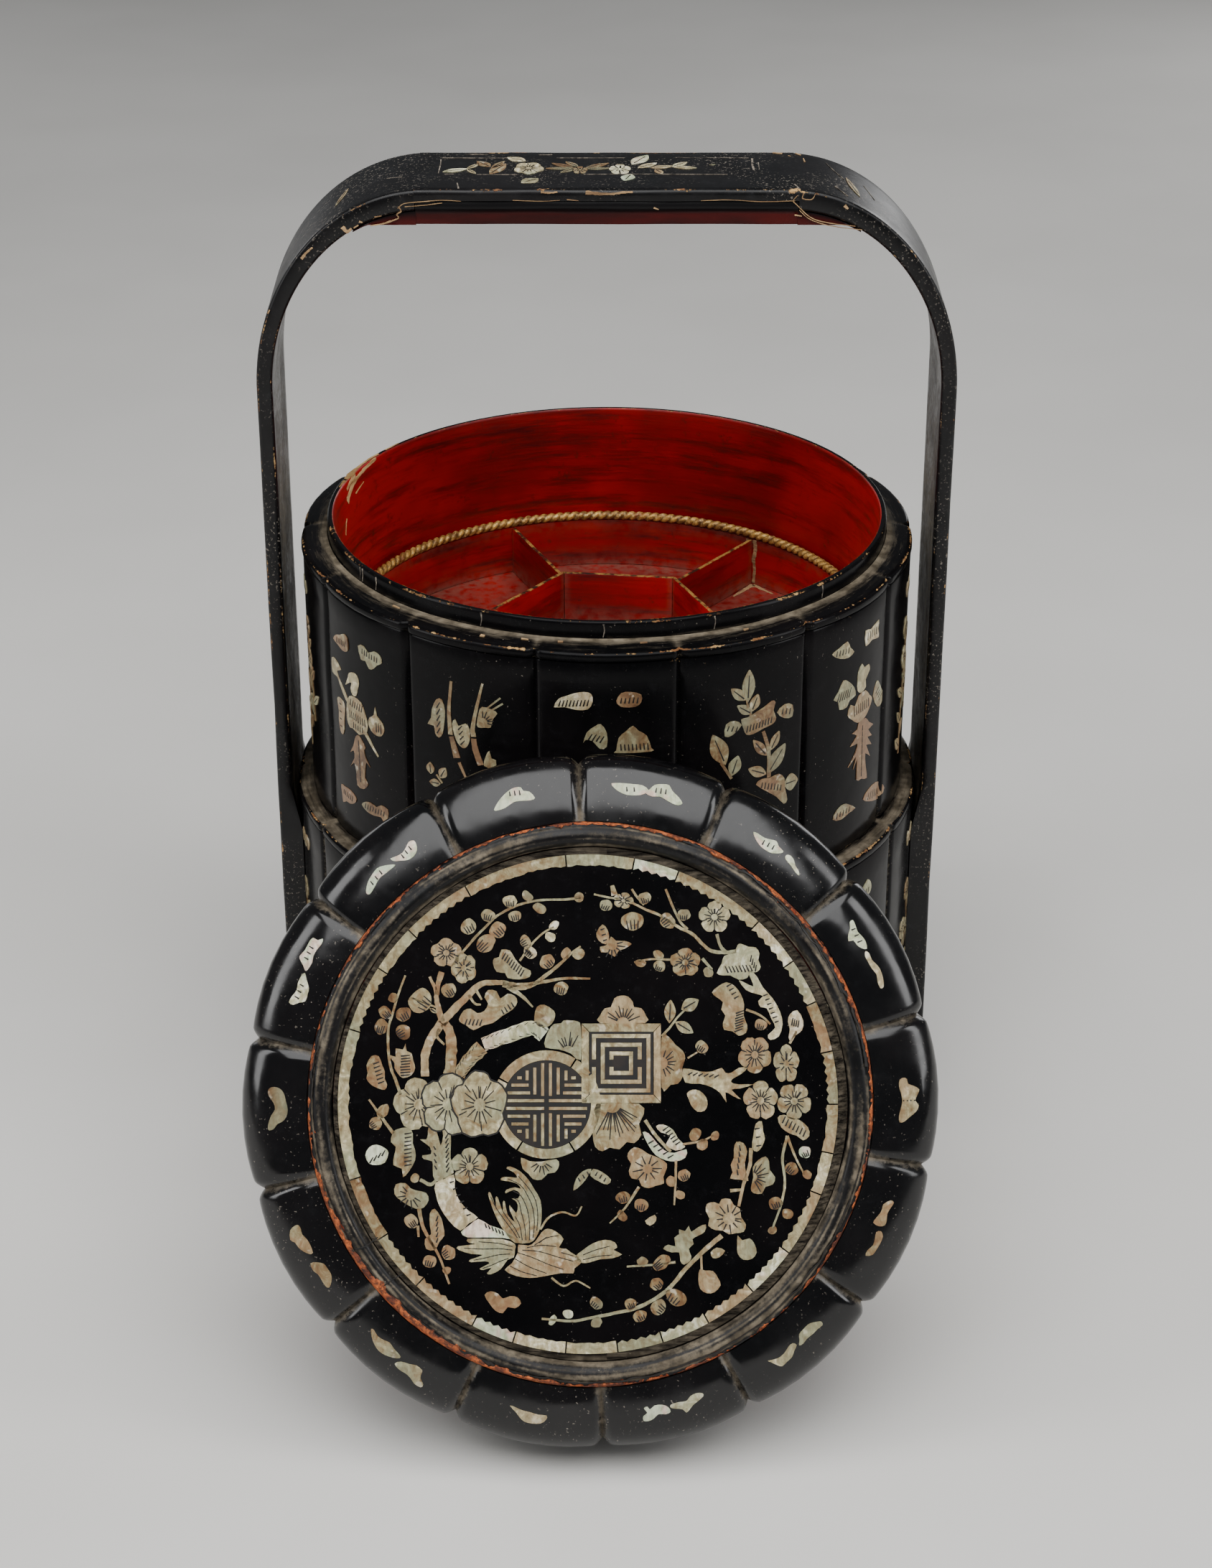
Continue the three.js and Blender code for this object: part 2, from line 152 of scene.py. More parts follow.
def black_lacquer(name="polished_black_lacquer", smooth=0.16, dull=0.28, haze=0.25, ior=1.25, grains=0.70,
                  gloss_level=0.5, turned_rings=False):
    """Lacquer over wood, brushed on, polished and handled for a century: near black with a deep gloss,
    dull dust in the grooves, and edges rubbed through to orange ground and tan wood."""
    material, shader, place = start_material(name)
    dust, edge, ground = kept_marks(material, "dust", "edge", "tint")
    colour = coat(material, "#060607", "#0d0b0c", speckle(material, place, 60, 0.35, 0.7))
    bloom = speckle(material, place, 7, 0.5, 0.85, detail=6, rough=0.75)
    colour = coat(material, colour, "#28282a", bloom, haze)
    grit = speckle(material, place, 1.3, grains, grains + 0.06, detail=2)
    patchy = worked(material, grit, ("MULTIPLY", speckle(material, place, 45, 0.40, 0.62)))
    colour = coat(material, colour, "#8d857a", patchy, 0.55)
    across = ringwise(material, place) if turned_rings else place
    cover = speckle(material, across, 1.6 if turned_rings else 3.0, 0.2, 0.8, detail=6, rough=0.75)
    dusty = broken(material, dust, cover, 0.55, 0.35, 1.1)
    powder = coat(material, "#4d4538", "#857a68", speckle(material, place, 8, 0.3, 0.7))
    colour = coat(material, colour, powder, dusty, 0.85)
    fine = speckle(material, place, 2.0, 0.1, 0.9, detail=6, rough=0.8)
    coarse = speckle(material, place, 16, 0.25, 0.75, detail=4)
    worn = broken(material, edge, worked(material, fine, ("ADD", coarse), ("MULTIPLY", 0.5)), 1.7, 0.80, 0.94)
    tone = speckle(material, place, 5, 0.40, 0.60)
    tan = coat(material, "#6d4a2e", "#b3905f", tone)
    orange = coat(material, "#74301a", "#bb6238", tone)
    colour = coat(material, colour, coat(material, tan, orange, ground), worn)
    smear = speckle(material, place, 22, 0.3, 0.75, detail=5)
    gloss = add_node(material, "MapRange", {"Value": smear, "To Min": smooth, "To Max": dull})
    matt = worked(material, dusty, ("MULTIPLY", 0.5), ("ADD", gloss.outputs["Result"]))
    swell = add_node(material, "TexNoise", {"Vector": place, "Scale": 1 / (18 * MM), "Detail": 2.0})
    waves = add_node(material, "Bump", {"Height": swell.outputs["Fac"], "Strength": 0.12, "Distance": 2 * MM})
    chips = add_node(material, "Bump", {"Height": worn, "Normal": waves.outputs["Normal"], "Strength": 0.6,
                                        "Distance": 0.5 * MM}, invert=True)
    return feed(material, shader, {
        "Base Color": colour,
        "Roughness": worked(material, worn, ("MULTIPLY", 0.45), ("ADD", matt)),
        "IOR": ior,
        "Specular IOR Level": gloss_level,
        "Normal": chips.outputs["Normal"],
    })


def red_lacquer():
    """Cinnabar-red lacquer brushed on round the wall: satin, with fine darker streaks along the brush,
    scuffs, and brown dirt in the corners."""
    material, shader, place = start_material("brushed_red_lacquer")
    dust, edge = kept_marks(material, "dust", "edge")
    colour = coat(material, "#a60305", "#7a0304", speckle(material, place, 70, 0.38, 0.66))
    streak = speckle(material, place, 60, 0.44, 0.70, stretch=(1, 1, 9), detail=6, rough=0.7)
    colour = coat(material, colour, "#330204", streak, 0.8)
    light = speckle(material, place, 34, 0.56, 0.8, stretch=(1, 1, 12), detail=6, rough=0.7)
    colour = coat(material, colour, "#ad150d", light, 0.5)
    dirt = speckle(material, place, 9, 0.56, 0.70, detail=6, rough=0.78)
    colour = coat(material, colour, "#2e0d08", dirt, 0.6)
    grime = worked(material, dust, ("MULTIPLY", speckle(material, place, 4, 0.3, 0.62, detail=5)))
    colour = coat(material, colour, "#7a5345", grime, 0.75)
    fine = speckle(material, place, 2.2, 0.15, 0.85, detail=6, rough=0.8)
    bare = coat(material, "#2f1a10", "#a87e40", speckle(material, place, 6, 0.42, 0.58))
    colour = coat(material, colour, bare, broken(material, edge, fine, 1.3, 0.72, 0.9))
    combed = add_node(material, "VectorMath", {0: place, 1: (1, 1, 14)}, operation="MULTIPLY").outputs[0]
    brush = add_node(material, "TexNoise", {"Vector": combed, "Scale": 1 / (22 * MM), "Detail": 5.0})
    bump = add_node(material, "Bump", {"Height": brush.outputs["Fac"], "Strength": 0.25,
                                       "Distance": 0.5 * MM})
    return feed(material, shader, {"Base Color": colour, "Roughness": 0.4, "IOR": 1.5,
                                   "Normal": bump.outputs["Normal"]})


def brown_lacquer():
    """Thin red-brown lacquer on the underside of the grip, darkened and dulled by hands."""
    material, shader, place = start_material("handled_brown_lacquer")
    edge, dark = kept_marks(material, "edge", "dust")
    streak = speckle(material, place, 20, 0.35, 0.7, stretch=(0.2, 1, 1), detail=5)
    colour = coat(material, "#4a0a08", "#220605", streak)
    colour = coat(material, colour, "#0d0c0d", dark)
    fine = speckle(material, place, 2.4, 0.15, 0.85, detail=6, rough=0.8)
    colour = coat(material, colour, "#a3845c", broken(material, edge, fine, 1.5, 0.8, 0.92))
    return feed(material, shader, {"Base Color": colour, "Roughness": 0.35, "IOR": 1.25})


def gilt():
    """Gold paint over carved rope, broken on the high spots, with painted shade: the grooves between the
    strands are painted near-black brown.
    """
    material, shader, place = start_material("worn_gilt_paint")
    hollow, = kept_marks(material, "dust")
    scuff = speckle(material, place, 4, 0.36, 0.62, detail=6, rough=0.7)
    colour = coat(material, "#d0a252", "#79552b", scuff)
    colour = coat(material, colour, "#f0d08a", speckle(material, place, 1.6, 0.56, 0.66, detail=3), 0.6)
    # Painted shade: near-black brown laid in the grooves between the rope's strands.
    colour = coat(material, colour, "#2d180d", hollow)
    colour = coat(material, colour, "#6c160c", speckle(material, place, 12, 0.6, 0.7), 0.6)
    return feed(material, shader, {"Base Color": colour, "Metallic": 0.35, "Roughness": 0.38})


def bare_wood(name="bare_wood_core", pale="#dcb67c", deep="#a37c48"):
    """Pale tan softwood with a straight fine grain, where lacquer has broken away."""
    material, shader, place = start_material(name)
    grain = speckle(material, place, 3, 0.3, 0.7, stretch=(0.15, 0.15, 1.6), detail=5)
    colour = coat(material, pale, deep, grain)
    colour = coat(material, colour, "#5c4228", speckle(material, place, 2, 0.55, 0.75, detail=4), 0.55)
    bump = add_node(material, "Bump", {"Height": grain, "Strength": 0.5, "Distance": 0.5 * MM})
    return feed(material, shader, {"Base Color": colour, "Roughness": 0.8, "Normal": bump.outputs["Normal"]})


def shell():
    """Mother-of-pearl, sawn thin, set in the lacquer and polished: warm cream shell whose layers catch
    the light in soft green, grey and pink. The layers show as clouds about 7 mm across, coarser than the
    real ones, which are too fine for the picture."""
    material, shader, place = start_material("polished_mother_of_pearl")
    tint, edge = kept_marks(material, "tint", "edge")
    layers = add_node(material, "TexNoise", {"Vector": place, "Scale": 1 / (7 * MM), "Detail": 5.0,
                                             "Roughness": 0.65, "Distortion": 1.6})
    lift = worked(material, layers.outputs["Fac"], ("MULTIPLY", 1.3), ("SUBTRACT", 0.42))
    mixed = worked(material, tint, ("MULTIPLY", 0.66), ("ADD", lift))
    ramp = add_node(material, "ValToRGB", {"Fac": mixed}, [
        (0.14, "#4e3523"), (0.27, "#6b4d34"), (0.40, "#806849"), (0.50, "#8e7e5e"), (0.60, "#99906f"),
        (0.70, "#aea37f"), (0.80, "#c6ba95"), (0.94, "#ece5cc")])
    drift = speckle(material, place, 30, 0.0, 1.0, detail=1)
    hue = worked(material, tint, ("MULTIPLY", 7.3), ("MODULO", 1.0), ("SUBTRACT", 0.5), ("MULTIPLY", 0.36),
                 ("ADD", drift))
    green = add_node(material, "MapRange", {"Value": hue, "From Min": 0.56, "From Max": 0.70})
    colour = coat(material, ramp.outputs["Color"], "#86957c", green.outputs["Result"], 0.42)
    pink = add_node(material, "MapRange", {"Value": hue, "From Min": 0.42, "From Max": 0.30})
    colour = coat(material, colour, "#a17d5e", pink.outputs["Result"], 0.4)
    fine = speckle(material, place, 1.6, 0.40, 0.7, stretch=(1, 0.35, 0.35), detail=4)
    colour = coat(material, colour, "#665236", fine, 0.5)
    colour = coat(material, colour, "#f2ead2", speckle(material, place, 5, 0.62, 0.72, detail=2), 0.35)
    best = add_node(material, "MapRange", {"Value": tint, "From Min": 0.84, "From Max": 1.0})
    flash = coat(material, "#93c4a4", "#d6aeb0", speckle(material, place, 11, 0.52, 0.62, detail=2))
    colour = coat(material, colour, flash, best.outputs["Result"], 0.34)
    colour = coat(material, colour, "#4a3d2c", edge, 0.75)
    return feed(material, shader, {"Base Color": colour, "Roughness": 0.3, "IOR": 1.5,
                                   "Specular Tint": "#f2efe0"})


def clay():
    """Orange-brown clay ground under the lacquer, crumbled and dirty."""
    material, shader, place = start_material("flaked_orange_clay_ground")
    colour = coat(material, "#5f2913", "#c8672f", speckle(material, place, 7, 0.36, 0.64, detail=5))
    grit = speckle(material, place, 1.8, 0.46, 0.62, detail=5, rough=0.75)
    colour = coat(material, colour, "#1f110d", grit, 0.8)
    colour = coat(material, colour, "#c98a5e", speckle(material, place, 3, 0.62, 0.72, detail=4), 0.6)
    bump = add_node(material, "Bump", {"Height": grit, "Strength": 0.7, "Distance": 0.6 * MM}, invert=True)
    return feed(material, shader, {"Base Color": colour, "Roughness": 0.75, "Normal": bump.outputs["Normal"]})


def two_toned(name, one, other, size_mm, low, high, roughness):
    """A plain matt surface that drifts between two near colours."""
    material, shader, place = start_material(name)
    colour = coat(material, one, other, speckle(material, place, size_mm, low, high))
    return feed(material, shader, {"Base Color": colour, "Roughness": roughness})


BLACK = black_lacquer(gloss_level=0.28, turned_rings=True)
DEEP = black_lacquer("thick_black_lacquer_on_lid", 0.11, 0.26, 0.25, 1.46, 0.66)
HANDLED = black_lacquer("handled_lacquer_on_bow", 0.26, 0.45, 0.5, 1.36, 0.60)
MOULDING = black_lacquer("worn_lacquer_on_turned_moulding", 0.32, 0.55, 0.7, 1.4, 0.70, 0.36)
RED = red_lacquer()
BROWN = brown_lacquer()
GILT = gilt()
WOOD = bare_wood()
STAINED = bare_wood("handled_bare_wood", "#b39267", "#6e5236")
SHELL = shell()
CLAY = clay()
# Engraved lines in the shell, filled with dark lacquer and dirt
ENGRAVED = two_toned("dirt_in_engraving", "#080605", "#1c130c", 6, 0.4, 0.7, 0.6)
# Fine scratches that have gone grey in the black lacquer
SCRATCHED = two_toned("grey_scratched_lacquer", "#8d8274", "#3a342e", 3, 0.35, 0.65, 0.7)
# Matt paper under and behind the basket
PAPER = two_toned("matt_studio_paper", "#d6d4d0", "#cfcdc9", 400, 0.3, 0.7, 0.9)


# Meshes

class Shape:
    """Points, faces and the marks on the points, gathered before they become a mesh."""

    def __init__(self):
        self.points = []
        self.faces = []
        self.marks = {"edge": [], "dust": [], "tint": []}

    def add(self, points, faces, edge=0.0, dust=0.0, tint=0.0):
        start = len(self.points)
        self.points += [Vector(point) for point in points]
        self.faces += [[start + index for index in face] for face in faces]
        for name, value in (("edge", edge), ("dust", dust), ("tint", tint)):
            self.marks[name] += list(value) if isinstance(value, (list, tuple)) else [value] * len(points)
        return self


def build(name, shape, material, body, stands_for=(), crease=38):
    """Makes the mesh, closes its look with smooth shading and creases, and puts it on its CAD body."""
    mesh = bpy.data.meshes.new(name)
    mesh.from_pydata([point * MM for point in shape.points], [], shape.faces)
    tidy = bmesh.new()
    tidy.from_mesh(mesh)
    bmesh.ops.recalc_face_normals(tidy, faces=tidy.faces)
    for face in tidy.faces:
        face.smooth = True
    for edge in tidy.edges:
        edge.smooth = edge.calc_face_angle(0) < math.radians(crease)
    tidy.to_mesh(mesh)
    tidy.free()
    for mark, values in shape.marks.items():
        if any(values):
            layer = mesh.attributes.new(mark, "FLOAT", "POINT")
            layer.data.foreach_set("value", values)
    mesh.materials.append(material)
    piece = bpy.data.objects.new(name, mesh)
    bpy.context.scene.collection.objects.link(piece)
    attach(piece, body)
    if stands_for:
        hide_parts(*stands_for)


def polar(radius, angle, height):
    """The point at a radius and an angle round the Z axis."""
    return Vector((radius * math.cos(angle), radius * math.sin(angle), height))


def tube_faces(rows, count, closed=False):
    """Faces between rows of count points each. The last row joins the first where the tube is closed, and
    both ends are capped where it isn't."""
    faces = []
    for row in range(rows if closed else rows - 1):
        here, there = row * count, (row + 1) % rows * count
        for side in range(count):
            after = (side + 1) % count
            faces.append([here + side, there + side, there + after, here + after])
    if not closed:
        faces += [list(range(count)), list(range((rows - 1) * count, rows * count))]
    return faces


# Lobed rings

LOBES = 14
LOBE_ANGLE = TAU / LOBES
HALF_SHARES = [0, 0.3, 0.55, 0.72, 0.82, 0.88, 0.915, 0.94, 0.96, 0.975, 0.988]


def lobe_share(angle, turn=0.0):
    """How far an angle is from the middle of its lobe: 0 there, and 1 or -1 in a groove."""
    place = (angle - FRONT - turn) / LOBE_ANGLE
    return 2 * (place - round(place))


def sunk(share, lip):
    """0 on a lobe, rising to 1 at the bottom of the groove beside it, with soft lips."""
    return (max(abs(share) - lip, 0) / (1 - lip)) ** 1.7


class Lobing:
    def __init__(self, radius, crown, groove, width, turn=0.0, grime=0.3):
        self.lip = 1 - width / (radius * LOBE_ANGLE)
        self.crown, self.groove, self.turn, self.grime = crown, groove, turn, grime

    def drop(self, angle):
        share = lobe_share(angle, self.turn)
        return self.crown * share * share + self.groove * sunk(share, self.lip)

    def depth(self, angle):
        return sunk(lobe_share(angle, self.turn), self.lip)

    def angles(self):
        shares = [-1] + [-share for share in reversed(HALF_SHARES)] + HALF_SHARES[1:]
        return [FRONT + self.turn + (lobe + share / 2) * LOBE_ANGLE
                for lobe in range(LOBES) for share in shares]


def even_angles(count):
    return [FRONT + TAU * step / count for step in range(count)]


def swept(section, angles, lobing=None, wobble=0.0, seed=0.0):
    """A closed section taken round the axis. Its points are (radius, height, lobed, edge, dust) and may
    have (out, up), the way in which the grooves sink there."""
    points, edges, dusts = [], [], []
    for angle in angles:
        drop = lobing.drop(angle) if lobing else 0
        deep = lobing.depth(angle) if lobing else 0
        ray = Vector((math.cos(angle), math.sin(angle), 0))
        for radius, height, lobed, edge, dust, *way in section:
            out, up = way or (1, 0)
            reach = radius - out * drop * lobed
            level = height - up * drop * lobed
            if wobble:
                shift = noise.noise(ray * 3.1 + Vector((seed, seed, height * 0.04))) * wobble
                reach += shift * out
                level += shift * up
            points.append(ray * reach + Vector((0, 0, level)))
            edges.append(edge)
            dusts.append(min(1, dust + (deep ** 0.6) * lobing.grime if lobed else dust))
    return Shape().add(points, tube_faces(len(angles), len(section), closed=True), edges, dusts)


def rounded_path(corners):
    """Rounds each corner (radius, height, rounding, lobed, edge, dust) of a section with an arc."""
    section = []
    steps = 4
    count = len(corners)
    for index, (x, y, rounding, lobed, edge, dust) in enumerate(corners):
        here = Vector((x, y))
        before = Vector(corners[index - 1][:2]) - here
        after = Vector(corners[(index + 1) % count][:2]) - here
        if rounding <= 0:
            section.append((x, y, lobed, edge, dust))
            continue
        start = here + before.normalized() * rounding
        end = here + after.normalized() * rounding
        for step in range(steps + 1):
            share = step / steps
            point = start * (1 - share) ** 2 + here * 2 * share * (1 - share) + end * share ** 2
            strength = edge * (1 - abs(2 * share - 1))
            section.append((point.x, point.y, lobed, strength, dust))
    return section


def disc(radius, foot, top, dust_rim=0.0, rings=(0.3, 0.6, 0.85, 0.97), film=0.0):
    """A round board with enough rings for the dust on its rim and the film over its middle."""
    points, dusts, faces = [], [], []
    shares = [*rings, 1.0]
    count = 140
    for level in (top, foot):
        points.append((0, 0, level))
        dusts.append(0.0)
        for share in shares:
            for angle in even_angles(count):
                points.append(polar(radius * share, angle, level))
                dusts.append(dust_rim if share > 0.95 else film)
    side = 1 + len(shares) * count
    for base in (0, side):
        for step in range(count):
            after = (step + 1) % count
            faces.append([base, base + 1 + step, base + 1 + after])
            for ring in range(len(shares) - 1):
                inner, outer = base + 1 + ring * count, base + 1 + (ring + 1) * count
                faces.append([inner + step, outer + step, outer + after, inner + after])
    last = 1 + (len(shares) - 1) * count
    for step in range(count):
        after = (step + 1) % count
        faces.append([last + step, side + last + step, side + last + after, last + after])
    return Shape().add(points, faces, dust=dusts)


# The tiers' named sizes: the walls over the lobes, the round necks, and heights above the floor
WALL_LOBING = {"crown": 1.1, "groove": 1.8, "width": 6}
UPPER_R, LOWER_R, BASE_R = 138.8, 145.4, 156.4
NECK_OUT, NECK_IN, LEDGE_IN = 127.0, 124.2, 127.3
UPPER_WALL_IN, LOWER_WALL_IN = 127.4, 136.4
BASE_CORE_R, BASE_TOP = 30, 14
LOWER_LEDGE_Z, UPPER_LEDGE_Z, LINING_TOP = 176.2, 298.5, 312.0
upper_lobing = Lobing(UPPER_R, **WALL_LOBING)
lower_lobing = Lobing(LOWER_R, **WALL_LOBING, grime=0.7)
base_lobing = Lobing(BASE_R, **WALL_LOBING)


def levels(radius, low, high, count, lobed, dust_low, dust_high):
    """Points up a wall, so that dust can fade in near its foot and its top."""
    rows = []
    for step in range(1, count):
        share = step / count
        dust = dust_low * max(0, 1 - share * 8) + dust_high * max(0, 1 - (1 - share) * 8)
        rows.append((radius, low + (high - low) * share, lobed, 0.0, dust))
    return rows


def lobed_wall(name, inner, outer, foot, top, lobing, body):
    section = [(inner, foot, 0, 0, 0), (outer - 0.8, foot, 1, 0.2, 0.4),
               (outer - 0.2, foot + 0.3, 1, 0.3, 0.4), (outer, foot + 1, 1, 0.2, 0.3)]
    section += levels(outer, foot, top, 12, 1, 0.3, 0.1)
    section += [(outer, top - 0.6, 1, 0.3, 0), (outer - 0.3, top, 1, 0.3, 0), (inner, top, 0, 0, 0)]
    wall = swept(section, lobing.angles(), lobing, 0.25, inner)
    build(name, wall, BLACK, body, [name])


def ledge(name, radius, foot, lobing, body, dusty=0.0):
    inner, top = LEDGE_IN, foot + 6
    section = [
        (inner, foot, 0, 0, 0),
        (radius - 0.9, foot, 1, 0.1, 0.3),
        (radius - 0.2, foot + 0.6, 1, 0.3, 0.2),
        (radius, foot + 1.6, 1, 0.1, 0.1),
        (radius, top - 3.2, 1, 0.0, 0.0),
        (radius - 0.2, top - 2.5, 1, 0.35, 0.0),
        (radius - 0.7, top - 1.95, 1, 0.82, 0.1),
        (radius - 1.4, top - 1.65, 1, 0.45, 0.25 + dusty),
        (radius - 2.6, top - 1.5, 0.9, 0.0, 0.3 + dusty),
        (radius - 5.0, top - 1.2, 0.6, 0.0, 0.35 + dusty),
        (radius - 8.0, top - 0.8, 0.2, 0.0, 0.5),
        (inner + 1.6, top - 0.25, 0, 0.0, 0.9 - dusty * 1.6),
        (inner, top, 0, 0, 1.0 - dusty * 1.6),
    ]
    moulding = swept(section, lobing.angles(), lobing, 0.3, foot)
    build(name, moulding, BLACK, body, [name])


def base_board():
    """The lobed board under everything, its round middle closed by a plain core."""
    section = [
        (BASE_CORE_R, 0, 0, 0, 0),
        (BASE_R - 0.8, 0, 1, 0.2, 0.3),
        (BASE_R, 0.8, 1, 0.4, 0.2),
        (BASE_R, 5, 1, 0.1, 0.2),
        (BASE_R, BASE_TOP - 4.2, 1, 0.3, 0.1),
        (BASE_R - 0.5, BASE_TOP - 2.4, 1, 0.8, 0.1),
        (BASE_R - 1.4, BASE_TOP - 1.1, 1, 0.9, 0.1),
        (BASE_R - 2.8, BASE_TOP - 0.3, 1, 0.5, 0.2),
        (BASE_R - 4.4, BASE_TOP, 1, 0.1, 0.4),
        (LOWER_R + 1, BASE_TOP, 1, 0, 0.9),
        (BASE_CORE_R, BASE_TOP, 0, 0, 0),
    ]
    shape = swept(section, base_lobing.angles(), base_lobing, 0.4, 2)
    around = even_angles(60)
    core = [polar(BASE_CORE_R, angle, height) for height in (0, BASE_TOP) for angle in around]
    shape.add(core, tube_faces(2, len(around)))
    build("base_board", shape, BLACK, "base", ["base_board"])


def lower_neck():
    foot, top = LOWER_LEDGE_Z, LOWER_LEDGE_Z + 14
    section = rounded_path([(NECK_IN, foot, 0, 0, 0, 0), (NECK_OUT, foot, 0, 0, 0, 0.8),
                            (NECK_OUT, top, 0.8, 0, 0.8, 0), (NECK_IN, top, 0.8, 0, 0.6, 0)])
    ring = swept(section, even_angles(180), wobble=0.1)
    build("lower_neck", ring, BLACK, "base", ["lower_neck"])


base_board()
lobed_wall("lower_wall", LOWER_WALL_IN, LOWER_R, 14.3, 175.9, lower_lobing, "base")
ledge("lower_ledge", 146.0, LOWER_LEDGE_Z, lower_lobing, "base", 0.5)
lobed_wall("upper_wall", UPPER_WALL_IN, UPPER_R, 182.5, 298.2, upper_lobing, "upper_tier")
ledge("upper_ledge", 139.4, UPPER_LEDGE_Z, upper_lobing, "upper_tier")
lower_neck()


def red_inside():
    """The lower tier's hollow is lacquered red: its floor, its wall, under the ledge and up the neck."""
    thick, floor_top, under_ledge, neck_top = 0.15, BASE_TOP + 0.05, LOWER_LEDGE_Z - 0.05, 189.8
    wide, narrow = LOWER_WALL_IN - 0.02, NECK_IN - 0.02
    up = [(wide, floor_top, 0, 0, 0.8), *levels(wide, floor_top, under_ledge, 10, 0, 0.4, 0.0),
          (wide, under_ledge, 0, 0, 0.2), (narrow, under_ledge, 0, 0, 0), (narrow, neck_top, 0, 0, 0.1)]
    back = [(radius - thick, height - thick * (height == under_ledge), *marks)
            for radius, height, *marks in up]
    build("lower_tier_red_coat", swept(up + back[::-1], even_angles(160)), RED, "base")
    floor_coat = disc(wide - thick, floor_top, floor_top + thick, dust_rim=0.8)
    build("lower_floor_red_coat", floor_coat, RED, "base")


red_inside()


# Upper tier: the red lining, whose top edge is the neck

def lining():
    """The neck's outside and its top edge are black, and the inside is red."""
    foot, top, lip = 197.7, LINING_TOP, NECK_IN + 0.5
    rows = levels(NECK_IN, top - 1.2, foot, 14, 0, 0.0, 0.6)
    inside = [(lip, top, 0, 0.7, 0), (NECK_IN + 0.15, top - 0.4, 0, 0.5, 0), (NECK_IN, top - 1.2, 0, 0.2, 0),
              *rows, (NECK_IN, foot, 0, 0, 0.8), (lip, foot, 0, 0, 0.8)]
    build("upper_lining", swept(inside, even_angles(200)), RED, "upper_tier", ["upper_lining"])
    outside = [(lip + 0.05, foot, 0, 0, 0), (NECK_OUT, foot, 0, 0, 0.6), (NECK_OUT, top - 9, 0, 0, 0.7),
               (NECK_OUT, top - 5.5, 0, 0, 0.15), (NECK_OUT, top - 1.4, 0, 0.1, 0),
               (NECK_OUT - 0.2, top - 0.6, 0, 0.6, 0), (NECK_OUT - 0.7, top - 0.1, 0, 0.55, 0),
               (NECK_OUT - 1.6, top, 0, 0.25, 0), (lip + 0.05, top - 0.1, 0, 0.55, 0)]
    neck = swept(outside, even_angles(200), wobble=0.12, seed=4)
    build("neck_outside", neck, BLACK, "upper_tier")


def support_ring():
    """The ring glued inside the lining, on which the tray stands."""
    inner, outer, foot, top = 115.9, 123.9, 221.5, 228.5
    section = rounded_path([(inner, foot, 0.8, 0, 0.4, 0), (outer, foot, 0, 0, 0, 0),
                            (outer, top, 0, 0, 0, 0), (inner, top, 0.8, 0, 0.8, 0)])
    ring = swept(section, even_angles(160))
    build("tray_support_ring", ring, RED, "upper_tier", ["tray_support_ring"])


lining()
upper_floor = disc(NECK_OUT, 191.4, 197.4, dust_rim=0.7)
build("upper_floor", upper_floor, RED, "upper_tier", ["upper_floor"])
support_ring()


# Tray

TRAY_OUT, TRAY_IN, TRAY_FLOOR_TOP, TRAY_FOOT, TRAY_TOP = 119.4, 117.4, 231.8, 232.1, 255.5
tray_floor = disc(TRAY_OUT, 228.8, TRAY_FLOOR_TOP, dust_rim=0.9, rings=(0.25, 0.5, 0.75, 0.9, 0.96), film=0.6)
build("tray_floor", tray_floor, RED, "tray", ["tray_floor"])
tray_wall = [(TRAY_IN, TRAY_FOOT, 0, 0, 0.9), (TRAY_OUT, TRAY_FOOT, 0, 0, 0.2),
             (TRAY_OUT, TRAY_TOP, 0, 0, 0.2), (TRAY_IN, TRAY_TOP, 0, 0.3, 0.4), (TRAY_IN, 250, 0, 0, 0.1),
             (TRAY_IN, 244, 0, 0, 0), (TRAY_IN, 236, 0, 0, 0.2)]
build("tray_wall", swept(tray_wall, even_angles(180)), RED, "tray", ["tray_wall"])


def rope_rim():
    """A carved rope: two strands twisted round each other, 4 mm to a turn, its gilding flaked."""
    radius, height, strand, turns = 118.4, 257.8, 2.2, 186
    around, sides = 1900, 12
    points, painted_shade_between_strands = [], []
    for step in range(around):
        angle = TAU * step / around
        twist = turns * angle
        ray = Vector((math.cos(angle), math.sin(angle), 0))
        for side in range(sides):
            lean = TAU * side / sides
            rise = abs(math.cos((lean * 2 - twist) / 2))
            reach = strand * (0.66 + 0.36 * rise)
            reach += noise.noise(ray * 60 + Vector((lean, lean * 2, 0))) * 0.16
            points.append(polar(radius + reach * math.cos(lean), angle, height + reach * math.sin(lean)))
            # Painted shade: the mark rises in the grooves between the strands and darkens the gilding there.
            painted_shade_between_strands.append(max(0, 0.8 - rise * 1.4))
    rope = Shape().add(points, tube_faces(around, sides, closed=True), dust=painted_shade_between_strands)
    build("tray_rim", rope, GILT, "tray", ["tray_rim"], crease=80)


rope_rim()

HEX_R, HEX_TURN = 53, math.radians(-7)
# A board's section: (side, share of its height) from its foot round its worn top edge
BOARD_SECTION = [(-1, 0), (1, 0), (1, 0.4), (1, 0.9), (0.75, 0.98),
                 (0, 1), (-0.75, 0.98), (-1, 0.9), (-1, 0.4)]


